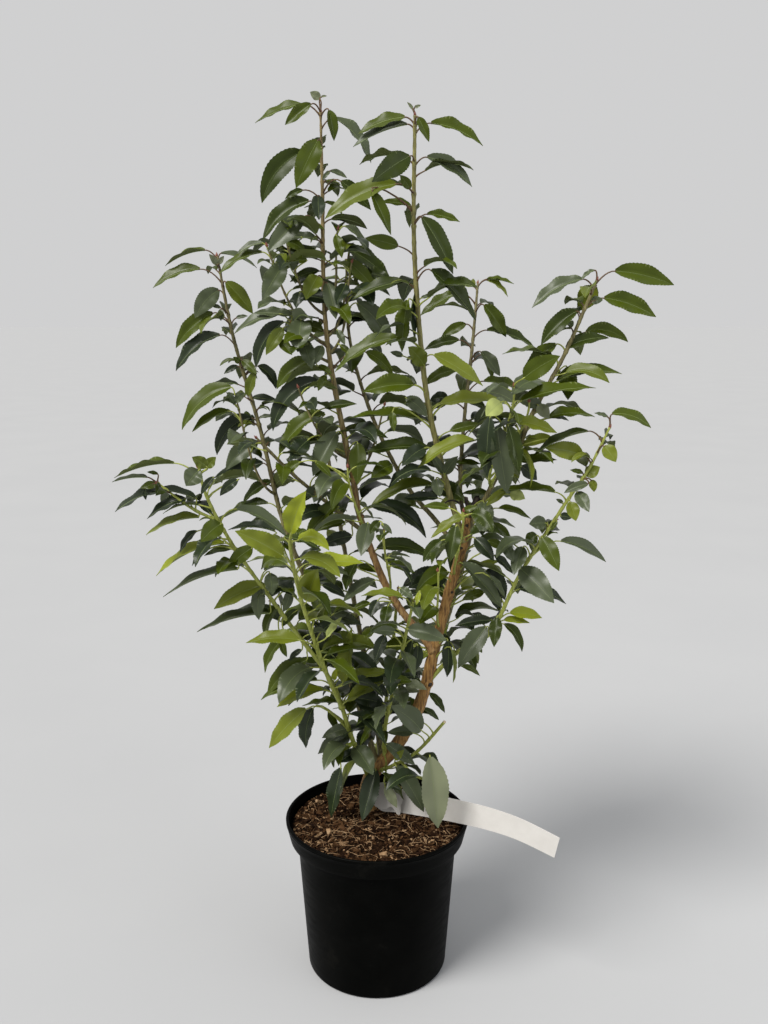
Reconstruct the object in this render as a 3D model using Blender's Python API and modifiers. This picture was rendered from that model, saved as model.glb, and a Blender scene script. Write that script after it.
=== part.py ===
"""Potted Portugal laurel, a young multi-stemmed evergreen shrub in its nursery pot.

Metres, +Z up. The origin is the middle of the pot's flat underside.
The shrub is built from its skeleton: every stem follows a smooth line through
a few named places, tapers from its foot to its end, and carries masses of
foliage whose outlines swell and shrink along the shoot. Neighbouring masses
share out the space between them and leave a little air round every limb.
"""

import math

import bmesh
import bpy
from mathutils import Matrix, Vector, noise

# ---------------------------------------------------------------- sizes (m)
CM = 0.01
GAP = 0.0003                 # between neighbouring pieces

POT_HEIGHT = 0.168
POT_RIM_R = 0.0970           # outside of the rim
POT_BAND_LOW_R = 0.0925      # outside of the band's lower edge
POT_BAND_H = 0.022           # height of the band under the rim
POT_SHOULDER_R = 0.0845      # wall just under the band
POT_BASE_R = 0.0745          # wall at the foot
POT_FOOT_ROUND = 0.0035
POT_WALL = 0.0022
POT_LIP = 0.0034             # thickness of the rolled lip
POT_STEPS = 32

SOIL_LEVEL = 0.158           # at the wall
SOIL_MOUND = 0.0015          # how much the middle stands above the edge
SOIL_CLEAR = 0.0004

LABEL_WIDTH = 0.0254
LABEL_THICK = 0.0008
LABEL_LEAN = (12.0, -8.0)    # degrees back from upright, at the pot and at the free end

AIR_ROUND_LIMB = 0.0032      # between foliage and any limb
AIR_BETWEEN = 0.0024         # foliage keeps this from its share's edge
FULLNESS = 1.12             # every mass's radius, times this
RING_SIDES = 10              # sides of a foliage mass
RING_COUNT = 7               # rings along it, without its two ends

# ---------------------------------------------------------------- materials


def finish(name, colour, roughness, metallic=0.0):
    mat = bpy.data.materials.new(name)
    mat.use_nodes = True
    bsdf = mat.node_tree.nodes["Principled BSDF"]
    bsdf.inputs["Base Color"].default_value = (*colour, 1.0)
    bsdf.inputs["Roughness"].default_value = roughness
    bsdf.inputs["Metallic"].default_value = metallic
    return mat


# ---------------------------------------------------------------- skeleton
# A limb: what carries it, its places in cm (left-right, front-back, height),
# its radius at the foot and at its end in mm, and how far up it is bare, as a
# share of its length: there it enters its own mass of leaves and ends.
LIMBS = {
    # the short leaning trunk, from the soil to the fork
    "trunk": dict(
        on=None, r=(7.9, 5.9), bare=1.0, flare=(1.36, 0.10),
        way=[(-1.0, 3.0, 15.2), (-0.85, 2.9, 19.3), (2.3, 2.6, 23.7), (4.7, 2.3, 28.6), (6.1, 2.0, 34.8)]),
    "right_main_stem": dict(
        on="trunk", r=(5.6, 4.7), bare=1.0, end_on=True,
        way=[(6.1, 2.0, 34.8), (7.3, 1.7, 40.0), (8.9, 1.2, 46.2), (9.25, 1.0, 49.4)]),
    "left_main_stem": dict(
        on="trunk", r=(4.1, 1.3), bare=0.78,
        way=[(6.0, 2.0, 34.4), (1.35, 2.2, 40.6), (-1.7, 2.45, 48.6), (-2.4, 2.7, 52.5), (-5.0, 3.2, 67.0), (-5.3, 3.8, 81.0), (-5.4, 4.0, 88.4)]),
    "tall_right_bough": dict(
        on="right_main_stem", r=(3.2, 1.7), bare=0.36,
        way=[(8.9, 1.2, 46.4), (7.7, 0.8, 50.2), (6.1, 0.2, 56.0), (4.7, -0.5, 62.9), (3.6, -1.7, 75.0), (3.55, -3.0, 86.8)]),
    "stub_bough": dict(
        on="right_main_stem", r=(2.3, 1.4), bare=0.30,
        way=[(9.1, 1.1, 48.0), (8.6, 2.9, 51.5), (9.1, 5.3, 58.4), (10.0, 7.8, 65.5), (10.7, 10.0, 72.4)]),
    "back_left_bough": dict(
        on="right_main_stem", r=(2.6, 1.4), bare=0.36,
        way=[(8.6, 1.3, 45.0), (6.2, 2.9, 48.1), (3.0, 4.6, 51.8), (-0.5, 7.0, 58.6), (-2.9, 9.5, 66.5), (-3.3, 12.0, 74.7)]),
    "left_side_bough": dict(
        on="trunk", r=(3.5, 1.4), bare=0.46,
        way=[(-0.4, 2.9, 21.2), (-2.9, 3.5, 30.5), (-6.1, 3.9, 38.2), (-9.8, 4.4, 47.5), (-12.1, 5.0, 57.4), (-14.7, 5.5, 66.8), (-16.2, 6.0, 75.0)]),
    "outer_left_bough": dict(
        on="trunk", r=(2.6, 1.4), bare=0.30,
        way=[(-0.9, 2.6, 19.4), (-2.6, 0.6, 25.0), (-4.6, -2.0, 32.4), (-8.8, -4.4, 39.7), (-13.2, -7.2, 47.5), (-15.3, -9.0, 52.6), (-15.9, -10.0, 55.7)]),
    "outer_left_side_bough": dict(
        on=None, r=(1.5, 1.0), bare=0.16,
        way=[(-14.9, -8.25, 50.6), (-17.0, -8.7, 51.8), (-19.8, -9.0, 54.1)]),
    "front_left_bough": dict(
        on="outer_left_bough", r=(2.3, 1.5), bare=0.22,
        way=[(-3.7, -0.85, 29.2), (-5.1, -4.3, 34.5), (-6.9, -8.3, 42.5), (-7.6, -11.4, 48.2), (-7.4, -13.0, 50.4)]),
    "left_inner_bough": dict(
        on="left_main_stem", r=(2.2, 1.4), bare=0.24,
        way=[(-0.9, 2.5, 47.0), (-5.5, 2.0, 50.6), (-8.5, 0.6, 53.5), (-11.7, -1.4, 57.3)]),
    "right_bough": dict(
        on="right_main_stem", r=(2.8, 1.5), bare=0.22,
        way=[(9.0, 1.2, 47.2), (10.8, 0.6, 50.6), (12.5, 0.2, 54.1), (14.2, 0.0, 56.4), (15.2, -0.4, 59.3), (17.9, -1.1, 64.8), (19.0, -1.5, 67.5), (20.8, -2.0, 72.3)]),
    "low_right_bough": dict(
        on="trunk", r=(2.5, 1.3), bare=0.24,
        way=[(5.3, 2.2, 30.6), (8.2, 1.4, 34.2), (10.9, 0.9, 35.9), (12.4, 0.3, 38.0), (14.6, -0.5, 43.5), (18.5, -1.7, 50.6), (20.6, -2.3, 54.2), (22.4, -3.0, 58.5)]),
    "front_twig": dict(
        on="trunk", r=(2.2, 1.5), bare=0.30,
        way=[(0.6, 2.6, 21.9), (0.9, 0.3, 26.7), (2.1, -2.6, 33.7), (3.6, -5.4, 41.9)]),
    "pruned_twig": dict(
        on="trunk", r=(1.9, 1.6), bare=1.0,
        way=[(-0.6, 2.6, 20.2), (1.8, 1.0, 21.9), (4.3, -0.3, 24.1), (7.0, -1.8, 28.0)]),
    "rear_left_bough": dict(
        on="trunk", r=(3.4, 1.8), bare=0.26,
        way=[(0.2, 3.2, 21.9), (-0.8, 7.0, 28.5), (-3.2, 11.6, 40.0), (-6.2, 15.8, 56.0)]),
    "rear_right_bough": dict(
        on="trunk", r=(3.4, 1.8), bare=0.26,
        way=[(3.6, 2.6, 26.2), (6.4, 7.0, 32.0), (10.0, 12.0, 42.0), (12.4, 15.8, 52.5)]),
    "rear_low_bough": dict(
        on="trunk", r=(2.8, 1.6), bare=0.26,
        way=[(-0.6, 3.4, 18.6), (0.6, 7.6, 24.0), (1.6, 11.6, 30.0), (2.4, 15.0, 37.5)]),
}

# A mass of leaves: the limb it grows on and the stretch of it as shares of its
# length, how far its middle line stands off that limb in cm, its radius in cm,
# how much it is flattened front to back, and the furthest leaf tips that it
# reaches: (share of the mass's length, left-right, front-back, height in cm).
MASSES = {
    "left_leader_top_leaves": dict(
        limb="left_main_stem", part=(0.785, 1.0), off=(0, 0, 0), top=1.4, r=4.0, flat=0.85,
        tips=[(0.78, -6.0, -0.8, -0.6), (0.45, -5.0, 0.0, 1.4), (0.86, 4.4, 0.6, -1.0), (0.3, 4.6, -0.6, -0.6)]),
    "left_leader_outer_leaves": dict(
        limb="left_main_stem", part=(0.50, 0.775), off=(-3.6, -0.4, 0), top=0, r=2.9, flat=1.0,
        tips=[(0.35, -2.4, 0, -1.0)]),
    "left_leader_inner_leaves": dict(
        limb="left_main_stem", part=(0.42, 0.76), off=(3.4, 0.4, 0), top=0, r=2.5, flat=1.0, tips=[]),
    "left_leader_low_leaves": dict(
        limb="left_main_stem", part=(0.10, 0.40), off=(-1.2, -4.4, 0.6), top=0, r=3.0, flat=0.9, tips=[]),
    "tall_right_top_leaves": dict(
        limb="tall_right_bough", part=(0.70, 1.0), off=(0, 0, 0), top=1.2, r=3.9, flat=0.85,
        tips=[(0.90, 6.6, -0.6, -2.6), (0.62, 5.6, 0.4, -1.0), (0.88, -5.4, 0.5, -2.0), (0.35, -6.0, 0.6, -1.4), (0.15, 4.4, -1.0, 0)]),
    "tall_right_middle_leaves": dict(
        limb="tall_right_bough", part=(0.37, 0.69), off=(0, 0, 0), top=0, r=3.7, flat=1.0,
        tips=[(0.6, 5.4, -1.4, -1.8), (0.4, -5.6, -0.8, -1.0)]),
    "stub_bough_top_leaves": dict(
        limb="stub_bough", part=(0.66, 1.0), off=(0, 0, 0), top=0.8, r=3.3, flat=0.85,
        tips=[(0.55, 5.6, 0.0, -1.8), (0.95, 3.4, 0.0, -0.6), (0.35, -3.8, 0, -1.6)]),
    "stub_bough_leaves": dict(
        limb="stub_bough", part=(0.32, 0.64), off=(0.3, 0.8, 0), top=0, r=3.2, flat=1.0,
        tips=[(0.6, 4.6, 0.8, -0.6)]),
    "back_left_top_leaves": dict(
        limb="back_left_bough", part=(0.72, 1.0), off=(0, 0, 0), top=1.0, r=4.2, flat=1.0,
        tips=[(0.7, 6.0, 1.0, -2.6), (0.6, -4.8, 1.6, -2.0)]),
    "back_left_leaves": dict(
        limb="back_left_bough", part=(0.38, 0.70), off=(0.3, 1.2, 0.2), top=0, r=3.9, flat=1.0,
        tips=[(0.5, 1.0, 5.0, -1.6)]),
    "left_side_top_leaves": dict(
        limb="left_side_bough", part=(0.72, 1.0), off=(0, 0, 0), top=0.8, r=3.5, flat=0.75,
        tips=[(0.82, -6.2, -0.4, -1.6), (0.90, 4.4, 0.3, -0.6), (0.5, -4.6, 0.4, -2.2), (0.25, -5.0, 0.6, -1.6)]),
    "left_side_middle_leaves": dict(
        limb="left_side_bough", part=(0.47, 0.71), off=(0, 0.4, 0), top=0, r=3.5, flat=1.0,
        tips=[(0.92, -7.0, 0.2, -2.4), (0.3, -4.4, 1.4, -1.8)]),
    "left_side_low_leaves": dict(
        limb="left_side_bough", part=(0.16, 0.44), off=(-2.2, 3.4, 0), top=0, r=3.2, flat=1.0,
        tips=[(0.6, -3.0, 2.6, -1.2)]),
    "outer_left_tip_leaves": dict(
        limb="outer_left_side_bough", part=(0.20, 1.0), off=(0, 0, 0), top=0.4, r=2.2, flat=0.7,
        tips=[(0.80, -4.1, -0.4, 1.0), (0.50, -5.6, 0.8, -1.6)]),
    "outer_left_leaves": dict(
        limb="outer_left_bough", part=(0.735, 1.0), off=(0.6, 0.4, 0.4), top=0.6, r=3.0, flat=0.75,
        tips=[(0.5, 4.0, 0.8, -0.4)]),
    "outer_left_low_leaves": dict(
        limb="outer_left_bough", part=(0.49, 0.725), off=(0, 0, 0), top=0, r=3.2, flat=0.72,
        tips=[(0.92, -9.4, -0.8, -0.6), (0.45, -8.0, 0.2, -1.8)]),
    "foot_left_leaves": dict(
        limb="outer_left_bough", part=(0.335, 0.48), off=(0, 0, 0), top=0, r=3.6, flat=0.9,
        tips=[(0.85, -8.0, 0, -1.0), (0.30, -7.6, 0.2, -2.2)]),
    "soil_left_leaves": dict(
        limb="outer_left_bough", part=(0.07, 0.28), off=(-2.6, -1.6, -0.8), top=0, r=2.3, flat=0.9,
        tips=[(0.25, -1.6, -0.6, -1.4)]),
    "front_left_leaves": dict(
        limb="front_left_bough", part=(0.24, 0.62), off=(0, 0, 0), top=0, r=3.5, flat=0.9,
        tips=[(0.5, 5.0, -1.0, -0.6), (0.6, -4.4, -2.0, -0.8)]),
    "front_left_top_leaves": dict(
        limb="front_left_bough", part=(0.64, 1.0), off=(0, 0, 0), top=3.2, r=3.2, flat=0.9,
        tips=[(0.4, 6.0, -0.4, -0.4), (0.4, -5.0, -0.6, 1.2)]),
    "left_inner_leaves": dict(
        limb="left_inner_bough", part=(0.27, 1.0), off=(0, 0, 0), top=0.6, r=3.2, flat=1.0, tips=[]),
    "right_top_leaves": dict(
        limb="right_bough", part=(0.70, 1.0), off=(0, 0, 0), top=0.8, r=3.0, flat=0.65,
        tips=[(0.98, 7.2, -0.2, -0.4), (0.80, 6.6, -0.4, -1.4), (0.88, -5.0, 0, -2.4), (0.4, -4.0, 0.4, -0.8), (0.42, 5.6, 0, -0.8), (0.05, 6.4, -0.3, -1.8)]),
    "right_middle_leaves": dict(
        limb="right_bough", part=(0.44, 0.69), off=(0, 0, 0), top=0, r=3.2, flat=0.75,
        tips=[(0.45, 6.4, -0.2, -0.2), (0.15, 5.6, -0.6, -0.4), (0.8, -3.8, 0.2, -0.6)]),
    "right_inner_leaves": dict(
        limb="right_bough", part=(0.24, 0.43), off=(0.2, -2.2, -0.2), top=0, r=3.0, flat=1.0,
        tips=[(0.6, 0.6, -3.2, 2.4)]),
    "right_outer_leaves": dict(
        limb="low_right_bough", part=(0.72, 1.0), off=(0, 0, 0), top=0.5, r=2.9, flat=0.65,
        tips=[(0.96, 4.2, -0.2, 0.2), (0.6, -3.6, -0.2, 0.6), (0.35, 3.8, 0, -0.8)]),
    "right_low_leaves": dict(
        limb="low_right_bough", part=(0.47, 0.71), off=(0, 0, 0), top=0, r=3.3, flat=0.75,
        tips=[(0.65, 6.0, 0, -1.4), (0.25, 4.2, 0, -2.6), (0.6, -3.0, 0, 1.0)]),
    "foot_right_leaves": dict(
        limb="low_right_bough", part=(0.26, 0.46), off=(0, 0, 0), top=0, r=3.5, flat=0.95,
        tips=[(0.5, 1.6, -1.0, -3.6)]),
    "soil_right_leaves": dict(
        limb="pruned_twig", part=(0.42, 0.96), off=(0.4, -2.9, -1.6), top=0, r=2.2, flat=0.9,
        tips=[(0.45, 0.6, -0.6, -1.8)]),
    "middle_front_leaves": dict(
        limb="front_twig", part=(0.33, 1.0), off=(0, 0, 0), top=1.0, r=3.5, flat=1.0, tips=[]),
    "heart_leaves": dict(
        limb="right_main_stem", part=(0.12, 0.95), off=(-1.4, -4.6, 1.4), top=0, r=3.2, flat=1.0, tips=[]),
    "rear_left_leaves": dict(
        limb="rear_left_bough", part=(0.28, 1.0), off=(0, 0, 0), top=1.0, r=4.8, flat=1.0,
        tips=[(0.75, -4.6, 3.6, -1.6)]),
    "rear_right_leaves": dict(
        limb="rear_right_bough", part=(0.28, 1.0), off=(0, 0, 0), top=1.0, r=4.6, flat=1.0,
        tips=[(0.75, 4.2, 3.2, -1.6)]),
    "rear_low_leaves": dict(
        limb="rear_low_bough", part=(0.28, 1.0), off=(0, 0, 0), top=0.6, r=3.8, flat=1.0,
        tips=[(0.6, 0.6, 4.2, -1.6)]),
}

# ---------------------------------------------------------------- helpers


def smooth_way(places, per_span=6):
    """A Catmull-Rom line through the places, in metres."""
    pts = [Vector(p) * CM for p in places]
    ends = [pts[0] * 2 - pts[1]] + pts + [pts[-1] * 2 - pts[-2]]
    out = []
    for i in range(1, len(ends) - 2):
        p0, p1, p2, p3 = ends[i - 1:i + 3]
        for k in range(per_span):
            t = k / per_span
            out.append(0.5 * ((2 * p1) + (p2 - p0) * t + (2 * p0 - 5 * p1 + 4 * p2 - p3) * t * t
                              + (3 * p1 - p0 - 3 * p2 + p3) * t ** 3))
    out.append(pts[-1])
    return out


class Line:
    """A polyline that can be read at any share of its length."""

    def __init__(self, pts):
        self.pts = pts
        self.at = [0.0]
        for a, b in zip(pts, pts[1:]):
            self.at.append(self.at[-1] + (b - a).length)
        self.length = self.at[-1]

    def point(self, share):
        d = share * self.length
        if d <= 0:
            return self.pts[0] + (self.pts[1] - self.pts[0]).normalized() * d
        if d >= self.length:
            return self.pts[-1] + (self.pts[-1] - self.pts[-2]).normalized() * (d - self.length)
        for i in range(1, len(self.at)):
            if d <= self.at[i]:
                f = (d - self.at[i - 1]) / (self.at[i] - self.at[i - 1])
                return self.pts[i - 1].lerp(self.pts[i], f)
        return self.pts[-1].copy()

    def nearest(self, p):
        best = 1e9
        share = 0.0
        for i, (a, b) in enumerate(zip(self.pts, self.pts[1:])):
            ab = b - a
            f = max(0.0, min(1.0, (p - a).dot(ab) / ab.length_squared))
            d = (p - a - ab * f).length
            if d < best:
                best = d
                share = (self.at[i] + f * ab.length) / self.length
        return best, share


def grow_lines():
    """Every limb's line, each starting on the middle line of the limb that carries it."""
    lines = {}
    for name, spec in LIMBS.items():
        way = [Vector(p) for p in spec["way"]]
        if spec["on"] and not spec.get("end_on"):
            carrier = lines[spec["on"]]
            _, share = carrier.nearest(way[0] * CM)
            way[0] = carrier.point(share) / CM
        lines[name] = Line(smooth_way(way))
    return lines


def limb_radius(spec, share):
    r0, r1 = spec["r"]
    r = r0 + (r1 - r0) * share
    if "flare" in spec:
        much, high = spec["flare"]
        r *= 1.0 + (much - 1.0) * math.exp(-share / high * 1.2)
    return r * 0.001


def into(collection, obj):
    for c in list(obj.users_collection):
        c.objects.unlink(obj)
    collection.objects.link(obj)


def tube(name, line, start, stop, radius_at, collection, mat=None, extra=0.0, sides=2):
    """A tapering round limb as a closed mesh, from a bevelled curve."""
    curve = bpy.data.curves.new(name, "CURVE")
    curve.dimensions = "3D"
    curve.bevel_depth = 1.0
    curve.bevel_resolution = sides
    curve.use_fill_caps = True
    curve.resolution_u = 1
    curve.render_resolution_u = 0
    steps = max(3, round((stop - start) * line.length / 0.030))
    spline = curve.splines.new("POLY")
    spline.points.add(steps)
    for i in range(steps + 1):
        share = start + (stop - start) * i / steps
        p = line.point(share)
        spline.points[i].co = (*p, 1.0)
        spline.points[i].radius = radius_at(share) + extra
    guide = bpy.data.objects.new(name + "_curve", curve)
    collection.objects.link(guide)
    bpy.context.view_layer.update()
    deps = bpy.context.evaluated_depsgraph_get()
    mesh = bpy.data.meshes.new_from_object(guide.evaluated_get(deps))
    bm = bmesh.new()
    bm.from_mesh(mesh)
    bmesh.ops.remove_doubles(bm, verts=bm.verts, dist=1e-6)
    bmesh.ops.recalc_face_normals(bm, faces=bm.faces)
    bm.to_mesh(mesh)
    bm.free()
    mesh.name = name
    obj = bpy.data.objects.new(name, mesh)
    obj.matrix_world = guide.matrix_world.copy()
    collection.objects.link(obj)
    bpy.data.objects.remove(guide)
    bpy.data.curves.remove(curve)
    mesh.shade_smooth()
    mesh.set_sharp_from_angle(angle=math.radians(50))
    if mat:
        mesh.materials.clear()
        mesh.materials.append(mat)
    return obj


def hide_cutter(obj):
    obj.hide_render = True
    obj.display_type = "WIRE"


def cut(obj, cutter):
    mod = obj.modifiers.new("cut_" + cutter.name, "BOOLEAN")
    mod.operation = "DIFFERENCE"
    mod.solver = "EXACT"
    mod.object = cutter


def turned(name, profile, steps, collection, mat):
    """A profile (radius, height) turned round the upright axis."""
    mesh = bpy.data.meshes.new(name)
    mesh.from_pydata([(r, 0.0, z) for r, z in profile],
                     [(i, i + 1) for i in range(len(profile) - 1)], [])
    obj = bpy.data.objects.new(name, mesh)
    collection.objects.link(obj)
    screw = obj.modifiers.new("turn", "SCREW")
    screw.axis = "Z"
    screw.steps = steps
    screw.render_steps = steps
    screw.use_merge_vertices = True
    screw.merge_threshold = 1e-5
    screw.use_smooth_shade = True
    mesh.materials.append(mat)
    return obj


# ---------------------------------------------------------------- pieces


def build_pot(collection, mat):
    band_z = POT_HEIGHT - POT_BAND_H
    inner_shoulder = POT_SHOULDER_R - POT_WALL
    inner_base = POT_BASE_R - POT_WALL
    # down the outside, then back up the inside
    profile = [
        (POT_RIM_R - POT_LIP * 0.5, POT_HEIGHT),
        (POT_RIM_R - 0.0006, POT_HEIGHT - 0.0008),
        (POT_RIM_R, POT_HEIGHT - 0.0032),
        (POT_BAND_LOW_R, band_z + 0.0012),
        (POT_BAND_LOW_R - 0.0012, band_z),
        (POT_SHOULDER_R, band_z - 0.0020),
        (POT_BASE_R, POT_FOOT_ROUND),
        (POT_BASE_R - POT_FOOT_ROUND * 0.35, POT_FOOT_ROUND * 0.3),
        (POT_BASE_R - POT_FOOT_ROUND, 0.0),
        (0.0, 0.0),
    ]
    inside = [
        (0.0, POT_WALL),
        (inner_base, POT_WALL),
        (inner_shoulder, band_z - 0.0005),
        (POT_BAND_LOW_R - POT_WALL, band_z + 0.0050),
        (POT_RIM_R - POT_LIP, POT_HEIGHT - 0.0012),
        (POT_RIM_R - POT_LIP * 0.5, POT_HEIGHT),
    ]
    return turned("pot", profile + inside, POT_STEPS, collection, mat)


def build_soil(collection, mat):
    c = SOIL_CLEAR
    band_z = POT_HEIGHT - POT_BAND_H
    inner_shoulder = POT_SHOULDER_R - POT_WALL - c
    inner_base = POT_BASE_R - POT_WALL - c
    step_r = POT_BAND_LOW_R - POT_WALL - c
    z0, r0 = band_z + 0.0050, POT_BAND_LOW_R - POT_WALL
    z1, r1 = POT_HEIGHT - 0.0012, POT_RIM_R - POT_LIP
    edge = r0 + (r1 - r0) * (SOIL_LEVEL - z0) / (z1 - z0) - 2 * c
    profile = [
        (0.0, SOIL_LEVEL + SOIL_MOUND),
        (edge * 0.5, SOIL_LEVEL + SOIL_MOUND * 0.8),
        (edge * 0.86, SOIL_LEVEL + SOIL_MOUND * 0.3),
        (edge, SOIL_LEVEL - 0.0006),
        (step_r - 0.0003, z0 + 0.0006),
        (inner_shoulder - 0.0002, band_z + 0.0004),
        (inner_base - 0.0004, POT_WALL + c * 2),
        (0.0, POT_WALL + c * 2),
    ]
    return turned("soil", profile, POT_STEPS, collection, mat)


def build_label(collection, mat):
    """A blank nursery label: a bent strip on edge from the trunk's foot over the rim."""
    way = Line(smooth_way([(-0.1, 1.5, 17.65), (2.3, 1.9, 17.30), (5.6, -0.1, 17.75), (8.8, -2.35, 18.20),
                           (11.6, -4.2, 18.4), (14.5, -6.0, 18.2), (17.9, -7.9, 17.3)], 5))
    bm = bmesh.new()
    bmesh.ops.create_grid(bm, x_segments=18, y_segments=1, size=0.5)
    for v in bm.verts:
        share = v.co.x + 0.5
        lean = math.radians(LABEL_LEAN[0] + (LABEL_LEAN[1] - LABEL_LEAN[0]) * share)
        across = v.co.y * LABEL_WIDTH
        p = way.point(share)
        ahead = (way.point(min(1.0, share + 0.02)) - way.point(max(0.0, share - 0.02))).normalized()
        side = ahead.cross(Vector((0, 0, 1))).normalized()       # towards the viewer
        up = side.cross(ahead).normalized()
        v.co = p + (up * math.cos(lean) - side * math.sin(lean)) * across
    mesh = bpy.data.meshes.new("label")
    bm.to_mesh(mesh)
    bm.free()
    obj = bpy.data.objects.new("label", mesh)
    collection.objects.link(obj)
    sol = obj.modifiers.new("thickness", "SOLIDIFY")
    sol.thickness = LABEL_THICK
    sol.offset = 0.0
    mesh.materials.append(mat)
    return obj


def build_limbs(collection, cutters, lines, wood, young):
    made = {}
    ground = bpy.data.meshes.new("below_soil")
    bm = bmesh.new()
    bmesh.ops.create_cube(bm, size=0.2, matrix=Matrix.Translation((0, 0, SOIL_LEVEL + SOIL_MOUND + GAP - 0.1)))
    bm.to_mesh(ground)
    bm.free()
    ground_cutter = bpy.data.objects.new("below_soil", ground)
    cutters.objects.link(ground_cutter)
    hide_cutter(ground_cutter)
    old_wood = ("trunk", "right_main_stem", "left_main_stem", "left_side_bough", "back_left_bough")
    for name, spec in LIMBS.items():
        line = lines[name]
        start = 0.0
        if spec.get("end_on"):
            start = GAP / line.length
        sides = 2 if spec["r"][0] > 4.5 else 1
        made[name] = tube(name, line, start, spec["bare"], lambda s, sp=spec: limb_radius(sp, s),
                          collection, wood if name in old_wood else young, sides=sides)
    # each limb is cut to fit the one that carries it
    grown = {}

    def cutter_of(name):
        if name not in grown:
            spec = LIMBS[name]
            sides = 2 if spec["r"][0] > 4.5 else 1
            grown[name] = tube(name + "_clear", lines[name], -0.01, spec["bare"] + (0.01 if spec["bare"] < 1 else 0.002),
                               lambda s, sp=spec: limb_radius(sp, max(0.0, s)), cutters, None, extra=GAP * 2.5, sides=sides)
            hide_cutter(grown[name])
        return grown[name]

    cut(made["trunk"], ground_cutter)
    for name, spec in LIMBS.items():
        if spec["on"] and not spec.get("end_on"):
            cut(made[name], cutter_of(spec["on"]))
        for other in spec.get("clear_of", ()):
            cut(made[name], cutter_of(other))
    cut(made["left_main_stem"], cutter_of("right_main_stem"))
    return made


def mass_line(spec, lines):
    line = lines[spec["limb"]]
    a, b = spec["part"]
    off = Vector(spec["off"]) * CM
    pts = []
    for i in range(9):
        share = a + (b - a) * i / 8
        pts.append(line.point(share) + off)
    if spec["top"]:
        ahead = (pts[-1] - pts[-2]).normalized()
        pts.append(pts[-1] + ahead * spec["top"] * CM)
    return Line(pts)


def ring_share(i):
    """Where a mass's ring sits along it: closer together towards its ends."""
    t = (i + 0.70) / (RING_COUNT + 0.40)
    return t - 0.055 * math.sin(2 * math.pi * t)


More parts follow.
